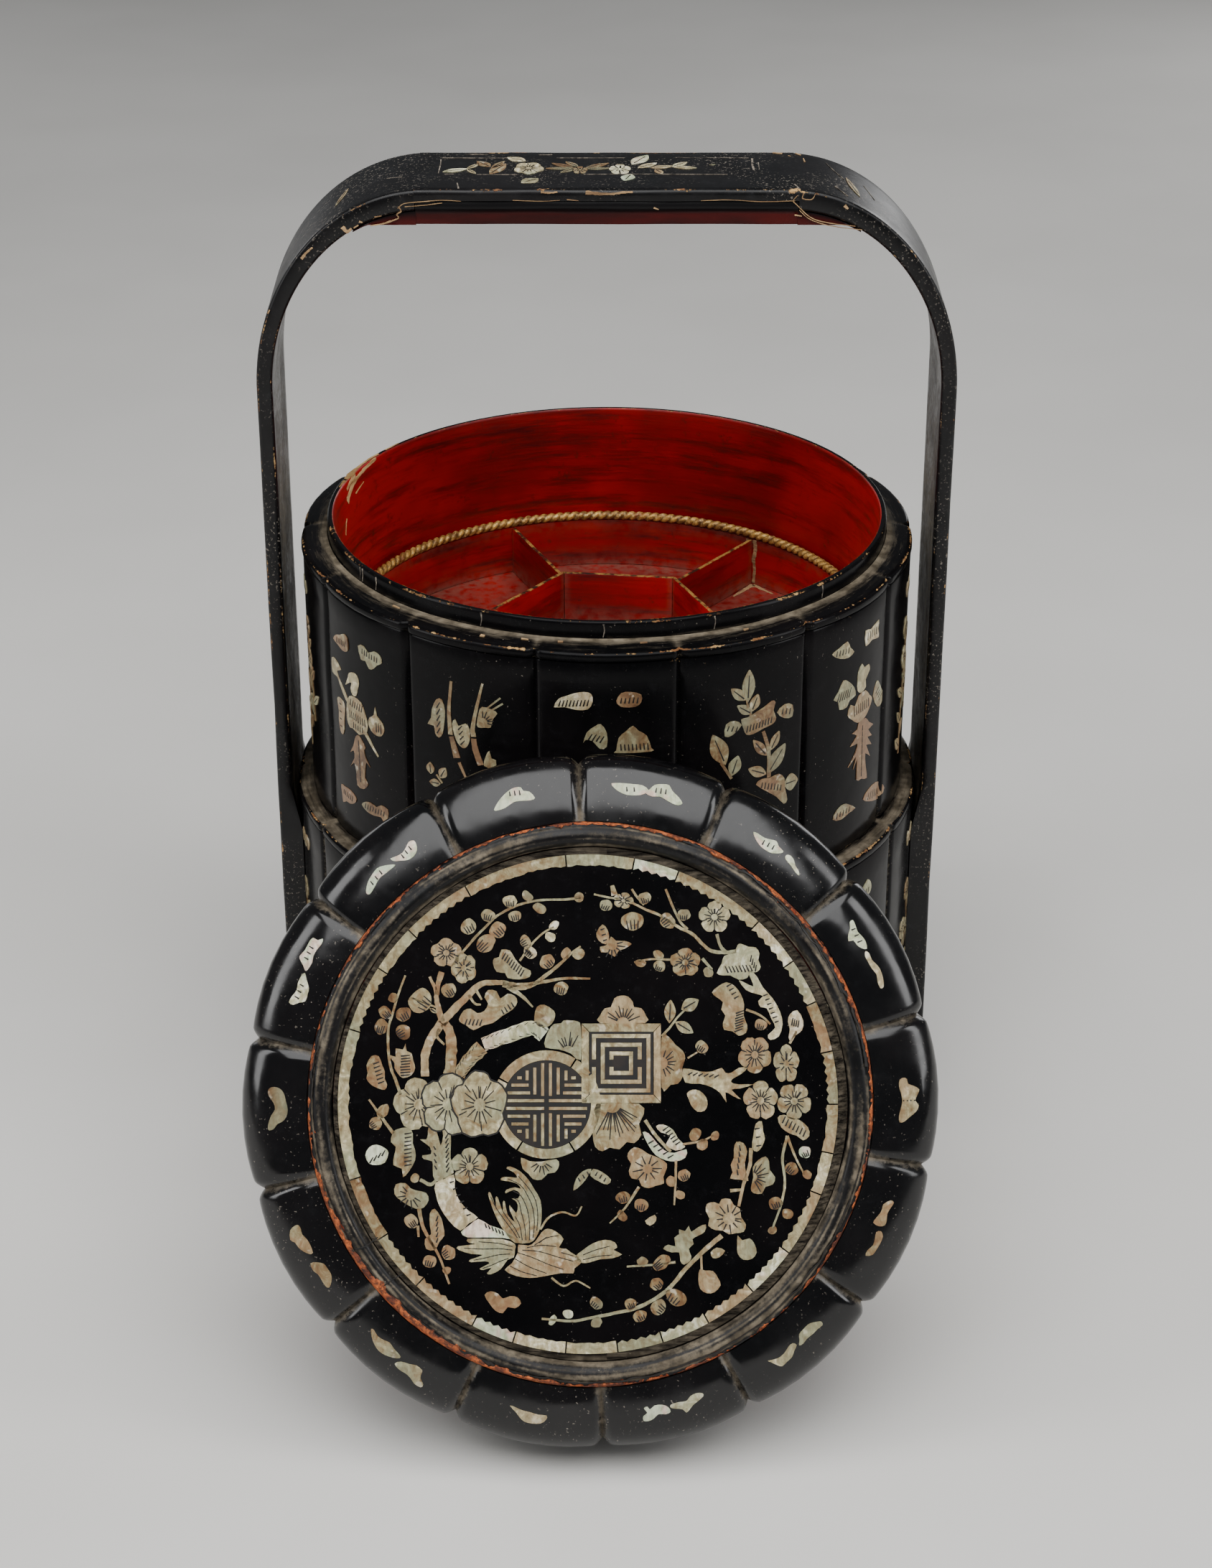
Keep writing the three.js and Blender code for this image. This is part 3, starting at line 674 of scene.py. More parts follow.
def tray_board(name, start, end, top, mitre, seed):
    """A thin upright board from start to end, its worn top edge a little uneven. A mitred board's ends
    lean out by mitre for each millimetre of thickness."""
    along = (end - start).normalized()
    across = Vector((along.y, -along.x))
    steps = 16
    points, edges, dusts = [], [], []
    for step in range(steps + 1):
        share = step / steps
        for side, rise in BOARD_SECTION:
            lean = (2 * share - 1) * mitre * side
            spot = start.lerp(end, share) + across * side + along * lean
            level = TRAY_FOOT + (top - TRAY_FOOT) * rise if rise < 0.9 else top - (1 - rise) * 8
            if rise >= 0.9:
                level -= 0.35 * max(0, noise.noise(Vector((share * 4 + seed, seed, 0))) + 0.2)
            points.append((spot.x, spot.y, level))
            edges.append(1.0 if rise >= 0.97 else 0.0)
            dusts.append(0.9 if rise == 0 else (0.45 if step in (0, steps) else 0.0))
    board = Shape().add(points, tube_faces(steps + 1, len(BOARD_SECTION)), edges, dusts)
    build(name, board, RED, "tray", [name], crease=50)


for index in range(6):
    first, second = (HEX_TURN + TAU * (index + step) / 6 for step in (0, 1))
    trim = 0.2 / HEX_R
    ends = [polar(HEX_R, angle, 0).to_2d() for angle in (first + trim, second - trim)]
    tray_board(f"tray_hexagon_board_{index + 1}", *ends, 257.9, math.tan(math.pi / 6), index * 3.3)
    ends = [polar(radius, first, 0).to_2d() for radius in (HEX_R + 1.5, TRAY_IN - 0.4)]
    tray_board(f"tray_divider_{index + 1}", *ends, TRAY_TOP, 0.0, index * 5.1 + 40)


# Bow handle: each side is an upright that bends into the shoulder

# The shoulder's outer and inner faces are quarter ellipses round (BOW_X, BOW_Z)
BOW_X, BOW_Z = 77.9, 377.2
OUTER_RUN, OUTER_RISE, INNER_RUN, INNER_RISE = 75.4, 91.0, 68.4, 81.8
UPRIGHT_OUT, UPRIGHT_IN = BOW_X + OUTER_RUN, BOW_X + INNER_RUN
HALF_WIDTH = 28.5
BUTT_RUN = 4


def bow_stations():
    """Pairs of (outer, inner) points in the plane of the bow, from the foot to the butt joint."""
    heights = (14.3, 40, 70, 100, 130, 160, 178, 184, 200, 225, 250, 275, 300, 325, 350)
    stations = [((UPRIGHT_OUT, height), (UPRIGHT_IN, height)) for height in heights]
    steps = 40
    for step in range(steps + 1):
        pair = []
        for run, rise in ((OUTER_RUN, OUTER_RISE), (INNER_RUN, INNER_RISE)):
            turn = math.acos(BUTT_RUN / run) * step / steps
            pair.append((BOW_X + run * math.cos(turn), BOW_Z + rise * math.sin(turn)))
        stations.append(pair)
    return stations


def bow_side(sign, name):
    """One side of the bow. The ring is its section: (place across, depth, edge, 1 on the outer face)."""
    inside = [-0.8, -0.6, -0.4, -0.2, 0, 0.2, 0.4, 0.6, 0.8]
    corner = [(1.6, 0.0, 0.0), (0.8, 0.2, 0.25), (0.25, 0.7, 0.6), (0.0, 1.6, 0.1)]
    ring = [(place * HALF_WIDTH, 0, 0.0, 1) for place in inside]
    ring += [(HALF_WIDTH - back, down, edge, 1) for back, down, edge in corner]
    ring += [(HALF_WIDTH - back, down, edge, 0) for back, down, edge in reversed(corner)]
    ring += [(place * HALF_WIDTH, 0, 0.0, 0) for place in reversed(inside)]
    ring += [(back - HALF_WIDTH, down, edge, 0) for back, down, edge in corner]
    ring += [(back - HALF_WIDTH, down, edge, 1) for back, down, edge in reversed(corner)]
    points, edges, dusts = [], [], []
    stations = bow_stations()
    for outer, inner in stations:
        outer_point, inner_point = Vector(outer), Vector(inner)
        through_way = (outer_point - inner_point).normalized()
        for y, down, edge, side in ring:
            spot = outer_point - through_way * down if side else inner_point + through_way * down
            swell = noise.noise(Vector((spot.x * 0.02, y * 0.03, spot.y * 0.02 + sign))) * 0.35
            spot += through_way * swell * (1 if side else 0.4)
            if not side and spot.y < LOWER_LEDGE_Z + 6.8:
                angle = math.atan2(y, LOWER_R + 0.6)
                wall = math.sqrt(max((LOWER_R - lower_lobing.drop(angle)) ** 2 - y * y, 0)) + 0.3
                spot.x = min(UPRIGHT_IN, wall) if spot.y < LOWER_LEDGE_Z - 0.2 else UPRIGHT_IN
            points.append((sign * spot.x, y, spot.y))
            edges.append(edge)
            # The middle of the inner face gets the pale dust mark, full up to 300 mm and thinning above. This
            # is partly dust and partly painted light, for the grazing light that greys these faces.
            grime = 0.75 - max(spot.y - 300, 0) / 300
            dusts.append(max(grime, 0.1) if not side and abs(y) < 25 else 0.15)
    side_shape = Shape().add(points, tube_faces(len(stations), len(ring)), edges, dusts)
    build(name, side_shape, HANDLED, "base", [name], crease=60)


bow_side(1, "handle_side_right")
bow_side(-1, "handle_side_left")


def long_bar(name, rows, half_length, material):
    """A bar along X whose section is a ring of (y, z, edge, dust) rows, wavering a little by hand."""
    steps = 40
    points, edges, dusts = [], [], []
    for step in range(steps + 1):
        x = half_length * (2 * step / steps - 1)
        for y, z, edge, dust in rows:
            waver = noise.noise(Vector((x * 0.035, y * 0.05, z * 0.4))) * 0.45
            points.append((x, y + math.copysign(waver * 0.6, y) * (abs(y) > 20), z + waver * 0.5))
            edges.append(edge)
            dusts.append(dust)
    bar = Shape().add(points, tube_faces(steps + 1, len(rows)), edges, dusts)
    build(name, bar, material, "base", [name], crease=50)


strip_rows = [(-28.4, 463.3, 0.2, 0.2), (-28.5, 465.8, 0, 0), (-28.4, 467.4, 0.5, 0), (-27.6, 468.1, 0.8, 0)]
strip_rows += [(-24 + 8 * step, 468.2, 0, 0.1) for step in range(7)]
strip_rows += [(27.6, 468.1, 0.8, 0), (28.4, 467.4, 0.5, 0), (28.5, 465.8, 0, 0), (28.4, 463.3, 0.2, 0.2)]
long_bar("handle_top_strip", strip_rows, 82.2, HANDLED)

grip_rows = [
    (-20, 452.4, 0, 0), (-25.5, 452.4, 0, 0), (-27.0, 452.9, 0.25, 0), (-27.4, 454.4, 0, 0),
    (-27.3, 457.4, 0, 0.1), (-27.5, 458.8, 0, 0.9), (-28.2, 459.6, 0, 1), (-28.5, 460.6, 0, 1),
    (-28.3, 462.0, 0, 1), (-28.0, 462.8, 0.2, 1),
]
grip_rows += [(-y, z, edge, dust) for y, z, edge, dust in reversed(grip_rows)]
long_bar("handle_grip", grip_rows, 81.6, BROWN)


def tongue(sign, name):
    """The thin end of the grip that runs out under the shoulder."""
    start, length, half, underside = 81.4, 27.2, 27.4, 452.3
    steps, columns = 12, 8
    points, edges, dusts = [], [], []
    across = [half * (2 * column / columns - 1) for column in range(columns + 1)]
    for step in range(steps + 1):
        share = step / steps
        x = start + length * share
        ceiling = BOW_Z + INNER_RISE * math.sqrt(1 - ((x - BOW_X) / INNER_RUN) ** 2) - 0.3
        low = min(underside, ceiling - 0.8 - (1 - share) * 0.8)
        middle = ceiling * 0.4 + low * 0.6
        rows = [(y, ceiling, 0, 1) for y in across]
        rows += [(half + 0.4, middle, 0, 0.2), (half, low + 0.4, 0.5, 0)]
        rows += [(y * 0.97, low, 0, 0) for y in reversed(across)]
        rows += [(-half, low + 0.4, 0.5, 0), (-half - 0.4, middle, 0, 0.2)]
        for y, level, edge, dust in rows:
            points.append((sign * x, y, level))
            edges.append(edge)
            dusts.append(dust)
    thin_end = Shape().add(points, tube_faces(steps + 1, len(rows)), edges, dusts)
    build(name, thin_end, BROWN, "base", crease=50)


tongue(1, "grip_tongue_right")
tongue(-1, "grip_tongue_left")


# Lid: drawn with its open edge at height 0 and its axis up, then leaned

LID_P = Vector((-6.8, -204.941, 128.042))
LID_X = Vector((1, 0, 0))
LID_UP = Vector((0, 0.453990, 0.891007))
LID_AXIS = Vector((0, -0.891007, 0.453990))
LID_TURN = math.radians(14.957)
LID_R, LID_HOLLOW_R = 144.6, 127.4
SHOULDER_IN, SHOULDER_RUN, SHOULDER_FOOT, SHOULDER_RISE = 116.5, 28.1, 30, 15
PANEL_R, PANEL_FOOT, PANEL_TOP = 105.7, 35.5, 42.5
lid_lobing = Lobing(LID_R, 1.6, 3.4, 9, LID_TURN, 0.75)


def in_lid(x, y, z):
    """The place of a point that is given in the lid's own coordinates."""
    return LID_P + LID_X * x + LID_UP * y + LID_AXIS * z


def leaned(shape):
    shape.points = [in_lid(*point) for point in shape.points]
    return shape


def humps(degrees, *shares):
    """How strong an effect is at an angle round the lid: the sum of soft humps (middle, spread, gain)."""
    return sum(gain * math.exp(-(((degrees - middle + 180) % 360 - 180) / spread) ** 2)
               for middle, spread, gain in shares)


def lid_wall():
    section = [
        (LID_HOLLOW_R, 0, 0, 0, 0),
        (LID_R - 1, 0, 1, 0.1, 0),
        (LID_R - 0.2, 0.5, 1, 0.3, 0),
        (LID_R, 1.4, 1, 0.1, 0),
        (LID_R - 0.1, 3.0, 1, 0, 0.3),
        (LID_R - 0.9, 3.6, 1, 0, 0.6),
        (LID_R - 0.9, 4.4, 1, 0, 0.6),
        (LID_R, 5.2, 1, 0.2, 0.1),
        (LID_R, 10, 1, 0, 0),
        (LID_R, 18, 1, 0, 0),
        (LID_R, 25, 1, 0, 0),
        (LID_R, 29.4, 1, 0, 0),
    ]
    steps = 14
    for step in range(steps + 1):
        angle = math.pi / 2 * step / steps
        fade = 1 - step / steps / 2
        dust = max(0, (step - 12) / 2) * 0.3
        out, up = math.cos(angle), math.sin(angle)
        reach, height = SHOULDER_IN + SHOULDER_RUN * out, SHOULDER_FOOT + SHOULDER_RISE * up
        section.append((reach, height, fade, 0, dust, out, up))
    section += [(SHOULDER_IN, 37, 0, 0, 0), (LID_HOLLOW_R, 26, 0, 0, 0)]
    shape = swept(section, lid_lobing.angles(), lid_lobing, 0.25, 7)
    build("lid_wall", leaned(shape), DEEP, "lid", ["lid_wall"], crease=45)


def lid_red_inside():
    """The lid's hollow is lacquered red, like the tiers."""
    thick, face = 0.15, LID_HOLLOW_R - 0.04
    wall = [(face, 0.5), (face, 6), (face, 14), (face, 25.9), (SHOULDER_IN, 36.8), (PANEL_R + 0.4, 37.35)]
    up = [(radius, height, 0, 0, 0.5 * (height > 25)) for radius, height in wall]
    back = [(radius - thick, height - thick * (height > 25), *marks) for radius, height, *marks in up]
    build("lid_red_coat", leaned(swept(up + back[::-1], even_angles(160))), RED, "lid")
    panel_coat = disc(PANEL_R - 0.1, PANEL_FOOT - 0.2, PANEL_FOOT - 0.2 + thick)
    build("lid_panel_red_coat", leaned(panel_coat), RED, "lid")


def crest_ring():
    """The turned moulding round the lid's panel: dusty steps, a rubbed crown, and an outer edge that has
    cracked and flaked down to its orange ground. Towards the lower right the pale dust is laid on thicker,
    as painted light where the crown faces the lamp."""
    section = [
        (106.0, 37.5, 0, 0, 0),
        (116.2, 37.5, 0, 0, 0),
        (116.2, 42.2, 0, 0.2, 0.9),
        (116.2, 43.6, 0, 0.9, 0.4),
        (116.0, 44.8, 0, 1.0, 0.2),
        (115.5, 45.7, 0, 0.95, 0.1),
        (114.8, 46.1, 0, 0.75, 0.3),
        (114.1, 45.9, 0, 0.45, 0.9),
        (113.4, 46.3, 0, 0.55, 0.4),
        (112.6, 46.9, 0, 0.3, 0.7),
        (111.4, 47.3, 0, 0.05, 0.85),
        (110.2, 47.3, 0, 0.05, 0.5),
        (109.4, 46.9, 0, 0.2, 0.7),
        (108.7, 46.7, 0, 0.1, 0.3),
        (107.8, 45.9, 0, 0.15, 0.55),
        (107.0, 44.7, 0, 0.1, 0.8),
        (106.3, 43.1, 0, 0.0, 1.0),
    ]
    shape = swept(section, even_angles(420), wobble=0.35, seed=9)
    around = len(section)
    for index, point in enumerate(shape.points):
        row = index % around
        if 3 <= row <= 6:
            rough = noise.noise(Vector((point.x * 0.22, point.y * 0.22, 4))) * 0.3
            rough += noise.noise(Vector((point.x * 0.7, point.y * 0.7, 9))) * 0.12
            point.z += rough
            point.x *= 1 - max(0, -rough) * 0.004
            point.y *= 1 - max(0, -rough) * 0.004
        angle = math.atan2(point.y, point.x)
        degrees = math.degrees(angle)
        rubbed = 0.5 + 0.3 * noise.noise(polar(7, angle, row))
        rubbed += humps(degrees, (-128, 34, 0.95), (-75, 26, 0.2), (35, 34, 0.35), (95, 30, 0.2))
        shape.marks["edge"][index] *= rubbed
        # Dust in streaks along the turning, made thicker towards the lower right by the hump at -60 degrees:
        # that hump is painted light, for the side of the crown that faces the lamp.
        streak = noise.noise(Vector((point.x * 0.035, point.y * 0.035, row * 2.7)))
        light = 0.8 + 1.1 * streak + humps(degrees, (-60, 60, 0.35))
        shape.marks["dust"][index] = min(1, max(0, shape.marks["dust"][index] * light))
    shape.marks["tint"] = [1.0] * len(shape.points)
    build("lid_crest_ring", leaned(shape), MOULDING, "lid", ["lid_crest_ring"], crease=50)


def on_crest(x, y, rise):
    """A point over the moulding's crown, which rises inwards and falls away at its outer edge."""
    radius = math.hypot(x, y)
    past = max(radius - 114.7, 0) / 1.5
    inward = min(max(113.8 - radius, 0), 2.4)
    return in_lid(x, y, 46.5 - 2.6 * past ** 2 + 0.42 * inward + rise)


def flaked_edge():
    """The orange clay ground bared along the moulding's outer edge: a thread in most places, and a broad
    broken band at the lower left."""
    steps, across = 900, 4
    points = []
    for step in range(steps):
        turn = TAU * step / steps
        spot = polar(1, turn, 0)
        width = 0.6 + sum(gain * noise.noise(spot * pace) for gain, pace in ((1.1, 9), (1.3, 34), (0.7, 90)))
        broad = humps(math.degrees(turn), (228, 34, 3.4), (285, 24, 0.7), (33, 26, 1.7), (85, 30, 0.7),
                      (345, 20, 0.7))
        width = max(width + broad * (0.75 + 0.9 * noise.noise(spot * 15)), 0.02)
        lift = 0.1 + 0.38 * min(width / 2.5, 1)
        for index in range(across + 1):
            reach = 116.3 - width * index / across
            crumbled = 0.16 * noise.noise(spot * 60 + Vector((0, 0, index)))
            rise = lift + crumbled if index < across else -0.1
            points.append(on_crest(spot.x * reach, spot.y * reach, rise))
    faces = []
    for step in range(steps):
        here, there = step * (across + 1), (step + 1) % steps * (across + 1)
        for index in range(across):
            faces.append([here + index, there + index, there + index + 1, here + index + 1])
    deep = len(points)
    points += [point - LID_AXIS * 0.5 for point in points]
    faces += [[deep + index for index in reversed(face)] for face in faces]
    for step in range(steps):
        here, there = step * (across + 1), (step + 1) % steps * (across + 1)
        for side in (0, across):
            faces.append([here + side, there + side, deep + there + side, deep + here + side])
    build("crest_flaked_edge", Shape().add(points, faces), CLAY, "lid", crease=50)


lid_wall()
lid_red_inside()
crest_ring()
flaked_edge()
panel_board = disc(PANEL_R, PANEL_FOOT, PANEL_TOP, dust_rim=0.6, rings=(0.2, 0.4, 0.6, 0.8, 0.92, 0.97))
build("lid_panel", leaned(panel_board), BLACK, "lid", ["lid_panel"])


# Inlay: thin plates of shell, cut to outline and set flush

def on_panel(x, y, rise):
    return in_lid(x, y, PANEL_TOP + rise)


def on_lobe(x, y, rise):
    """A point of the lid's shoulder or side, by where it lies in the plane of the lid."""
    radius, angle = math.hypot(x, y), math.atan2(y, x)
    share = min(max((radius - SHOULDER_IN) / SHOULDER_RUN, 0), 0.9999)
    out, up = share, math.sqrt(1 - share * share)
    fade = 0.5 + 0.5 * math.acos(up) / (math.pi / 2)
    lift = rise - lid_lobing.drop(angle) * fade
    reach = SHOULDER_IN + SHOULDER_RUN * share + out * lift
    return in_lid(*polar(reach, angle, SHOULDER_FOOT + SHOULDER_RISE * up + up * lift))


def on_wall(radius, lobing=None, way=1, start=FRONT):
    """Places on an upright round wall, by the arc from the start angle. The way is -1 on an inner face."""
    def place(arc, height, rise):
        angle = start + arc / radius
        drop = lobing.drop(angle) if lobing else 0
        return polar(radius - drop + way * rise, angle, height)
    return place


def turned(points, x, y, tilt=0.0):
    """Outline points turned by tilt degrees and moved to their place."""
    cos, sin = math.cos(math.radians(tilt)), math.sin(math.radians(tilt))
    return [(x + px * cos - py * sin, y + px * sin + py * cos) for px, py in points]


def oval(rx, ry, rough, count):
    outline = []
    for step in range(count):
        angle = TAU * step / count
        reach = 1 + chance.uniform(-rough, rough)
        outline.append((rx * reach * math.cos(angle), ry * reach * math.sin(angle)))
    return outline


def leaf(length, width):
    """A leaf from its stem at (0, 0) to its tip."""
    upper = [(0.0, 0.06), (0.15, 0.55), (0.35, 0.95), (0.55, 1.0), (0.75, 0.72), (0.9, 0.35)]
    points = [(x * length, y * width / 2) for x, y in upper]
    points.append((length, 0))
    points += [(x * length, -y * width / 2) for x, y in reversed(upper)]
    return points


def curved(a, b, c, d, steps):
    """Points of a smooth curve from b up to c, which the points a and d before and after them bend."""
    spots = []
    for step in range(steps):
        t = step / steps
        spots.append(0.5 * (2 * b + (c - a) * t + (2 * a - 5 * b + 4 * c - d) * t * t
                            + (3 * b - a - 3 * c + d) * t ** 3))
    return spots


def softened(outline, steps=3):
    """The outline as a closed smooth curve through its points."""
    spots = [Vector(point) for point in outline]
    curve = []
    for index in range(len(spots)):
        four = (spots[(index + shift) % len(spots)] for shift in (-1, 0, 1, 2))
        curve += [tuple(spot) for spot in curved(*four, steps)]
    return curve


def smooth_line(points, steps=5):
    """A curve through the points."""
    spots = [Vector(point) for point in points]
    if len(spots) < 3:
        return spots
    spots = [spots[0] * 2 - spots[1], *spots, spots[-1] * 2 - spots[-2]]
    line = []
    for four in zip(spots, spots[1:], spots[2:], spots[3:]):
        line += curved(*four, steps)
    return [*line, spots[-2]]


def stem(points, start, end, rough):
    """The outline of a stem or branch that runs through the points and tapers from start to end."""
    line = smooth_line(points)
    left, right = [], []
    for index, spot in enumerate(line):
        before, after = line[max(index - 1, 0)], line[min(index + 1, len(line) - 1)]
        way = (after - before).normalized()
        side = Vector((-way.y, way.x))
        share = index / (len(line) - 1)
        half = (start + (end - start) * share) / 2
        left.append(tuple(spot + side * half * (1 + chance.uniform(-rough, rough))))
        right.append(tuple(spot - side * half * (1 + chance.uniform(-rough, rough))))
    return left + right[::-1]


SHELL_RISE, SHELL_SINK = 0.22, 0.5


def trace(text):
    """Outline points, written as x,y pairs in millimetres."""
    return [tuple(float(value) for value in pair.split(",")) for pair in text.split()]


class Inlay:
    """Plates of shell on one surface, with the lines engraved in them."""

    def __init__(self, name, place, body, *steps):
        self.name, self.place, self.body, self.steps = name, place, body, steps
        self.plates, self.cuts = Shape(), Shape()

    def slab(self, shape, outline, rise, tint=0.0):
        flat = bmesh.new()
        flat.faces.new([flat.verts.new((x, y, 0)) for x, y in outline])
        for axis, step in enumerate(self.steps):
            places = [point[axis] for point in outline]
            line = math.ceil(min(places) / step) * step
            while line < max(places):
                geometry = flat.verts[:] + flat.edges[:] + flat.faces[:]
                spot = [line if index == axis else 0 for index in range(3)]
                way = [1 if index == axis else 0 for index in range(3)]
                bmesh.ops.bisect_plane(flat, geom=geometry, plane_co=spot, plane_no=way)
                line += step
        flat.verts.index_update()
        count = len(flat.verts)
        spots = [(vert.co.x, vert.co.y) for vert in flat.verts]
        faces = [[vert.index for vert in face.verts] for face in flat.faces]
        walls = [[vert.index for vert in edge.verts] for edge in flat.edges if edge.is_boundary]
        flat.free()
        points = [self.place(x, y, level) for level in (rise, -SHELL_SINK) for x, y in spots]
        closed = faces + [[count + index for index in reversed(face)] for face in faces]
        closed += [[one, other, count + other, count + one] for one, other in walls]
        shape.add(points, closed, 0.0, 0.0, tint)

    def plate(self, outline, tint=None, rise=SHELL_RISE):
        self.slab(self.plates, outline, rise, chance.uniform(0.2, 0.85) if tint is None else tint)

    def seam(self, outline, grow, rise):
        """The dark joint round a plate that covers part of another: its outline, grown."""
        middle = sum((Vector(point) for point in outline), Vector((0, 0))) / len(outline)
        spokes = [Vector(point) - middle for point in outline]
        self.slab(self.cuts, [middle + spoke * (1 + grow / spoke.length) for spoke in spokes], rise)

    def cut(self, start, end, width=0.65, rise=SHELL_RISE + 0.05):
        start, end = Vector(start), Vector(end)
        way = (end - start).normalized()
        side = Vector((-way.y, way.x)) * width / 2
        flat = [start - side, end - side * 0.6, end + side * 0.6, start + side]
        points = [self.place(x, y, level) for level in (rise, 0) for x, y in flat]
        self.cuts.add(points, tube_faces(2, len(flat)))

    def rays(self, x, y, inner, outer, first, last, count, width=0.65, rise=SHELL_RISE + 0.05, squash=1.0):
        """Lines that fan out from a point, between two angles."""
        for index in range(count):
            angle = math.radians(first + (last - first) * index / max(count - 1, 1) + chance.uniform(-4, 4))
            reach = inner + (outer - inner) * chance.uniform(0.6, 1.0)
            self.cut((x + inner * math.cos(angle), y + inner * math.sin(angle) * squash),
                     (x + reach * math.cos(angle), y + reach * math.sin(angle) * squash), width, rise)

    def hatch(self, x0, y0, x1, y1, count, length, tilt):
        """A row of short lines side by side, each leaning at tilt degrees."""
        way = Vector((math.cos(math.radians(tilt)), math.sin(math.radians(tilt)))) * length / 2
        for index in range(count):
            spot = Vector((x0, y0)).lerp(Vector((x1, y1)), index / max(count - 1, 1))
            self.cut(spot - way * chance.uniform(0.8, 1), spot + way * chance.uniform(0.8, 1), 0.7)

    def traced(self, pieces, darker=0.0):
        """Plates cut to traced outlines: (outline, tint, lines...), where a line is a fan or a hatch."""
        for text, tint, *lines in pieces:
            self.plate(softened(trace(text), 2), tint - darker)
            for line in lines:
                self.rays(*line[1:]) if line[0] == "fan" else self.hatch(*line)

    def finish(self):
        build(self.name, self.plates, SHELL, self.body, crease=30)
        if self.cuts.points:
            build(self.name + "_engraving", self.cuts, ENGRAVED, self.body, crease=30)


PETALS = 5


def rosette(rx, ry, turn, depth):
    """A flower's outline: rounded petals with notches between them."""
    outline = []
    for step in range(PETALS * 8):
        angle = TAU * step / (PETALS * 8)
        swell = abs(math.cos(PETALS * (angle - math.radians(turn)) / 2)) ** 0.55
        reach = (1 - depth * (1 - swell)) * (1 + chance.uniform(-0.03, 0.03))
        outline.append((rx * reach * math.cos(angle), ry * reach * math.sin(angle)))
    return outline


def flower(inlay, x, y, rx, ry, turn, tint=None, rise=SHELL_RISE, seam=False):
    """An open plum flower in one plate, with its stamens and the joints of its petals engraved."""
    outline = [(x + px, y + py) for px, py in rosette(rx, ry, turn, 0.24 if rx > 4 else 0.3)]
    if seam:
        inlay.seam(outline, 0.75, rise - 0.06)
    inlay.plate(outline, tint, rise)
    above = rise + 0.05
    for petal in range(PETALS):
        angle = math.radians(turn + 360 * (petal + 0.5) / PETALS)
        inlay.cut((x + rx * 0.8 * math.cos(angle), y + ry * 0.8 * math.sin(angle)),
                  (x + rx * 0.5 * math.cos(angle), y + ry * 0.5 * math.sin(angle)), 0.6, above)
    inlay.rays(x, y, rx * 0.2, rx * 0.68, turn, turn + 352, 15 if rx > 6 else 9, 0.62, above, ry / rx)


def bud(inlay, x, y, rx, ry, tint):
    """A round bud, cut a little uneven, with a ragged foot and short lines that run up from it."""
    tilt = chance.uniform(-60, 60)
    outline = [(px * (1 + 0.12 * py / ry), py if py > -0.5 * ry else py * 0.9)
               for px, py in oval(rx, ry, 0.09, 12)]
    inlay.plate(turned(softened(outline, 2), x, y, tilt), tint)
    if min(rx, ry) > 2.2:
        for place in (-0.55, -0.2, 0.15, 0.5):
            line = [(place * rx * 0.8, -0.75 * ry), (place * rx, chance.uniform(-0.1, 0.3) * ry)]
            inlay.cut(*turned(line, x, y, tilt))


def reach_leaf(inlay, start, end, width, tint=None):
    """A leaf from one point to another, with the vein cut along it."""
    way = Vector(end) - Vector(start)
    outline = softened(leaf(way.length, width), 2)
    inlay.plate(turned(outline, *start, math.degrees(math.atan2(way.y, way.x))), tint)
    inlay.cut(Vector(start).lerp(Vector(end), 0.12), Vector(start).lerp(Vector(end), 0.82))


def leaves(inlay, text, tint=None):
    """Leaves written as x,y,x,y,width: from the stem to the tip. Without a tint each one draws its own."""
    for spec in text.split():
        x0, y0, x1, y1, width = (float(value) for value in spec.split(","))
        shade = chance.uniform(0.1, 0.45) if tint is None else tint
        reach_leaf(inlay, (x0, y0), (x1, y1), width, shade)


def cloud(inlay, x, y, width, height):
    """A small scrolled cloud: a puff at each end, joined by a lower waist."""
    w, h = width / 2, height / 2
    puffs = trace("""-1,-0.2 -0.9,0.5 -0.6,0.95 -0.3,0.6 0,0.45 0.25,0.85 0.6,1 0.9,0.5 1,-0.3 0.65,-0.8
        0.3,-0.45 0.05,-0.9 -0.35,-0.6 -0.7,-0.95""")
    points = [(x_share * w * chance.uniform(0.88, 1.08), y_share * h * chance.uniform(0.85, 1.15))
              for x_share, y_share in puffs]
    inlay.plate(turned(softened(points), x, y))
    for share in (-0.6, -0.35, -0.1, 0.15, 0.4, 0.65):
        inlay.cut(*turned([(share * w, 0.05 * h), (share * w * 0.9, -0.6 * h)], x, y))


# Pearl ring round the panel
ring_inlay = Inlay("lid_pearl_ring", on_panel, "lid")
RING_X, RING_OUT, RING_IN = -1, 102.8, 98.2
RING_JOINTS = trace("""-96,30 -84,54 -73,70 -50,87 -10,100 18,100 36,95 69,75 82,58 90,41 95,21 98,0 98,-20
    94,-37 80,-60 65,-75 47,-87 29,-95 11,-99 -10,-100 -31,-95 -47,-88 -70,-73 -86,-55 -98,-31""")
joint_angles = sorted((math.atan2(y, x - RING_X) for x, y in RING_JOINTS), reverse=True)
RING_TINTS = [0.5, 0.62, 0.55, 0.45, 0.6, 0.95, 0.5, 0.85, 0.6, 0.35, 0.4, 0.55, 0.75, 0.6, 0.9, 0.6,
              0.8, 0.4, 0.7, 0.85, 1.0, 0.6, 0.5, 0.3, 0.65]
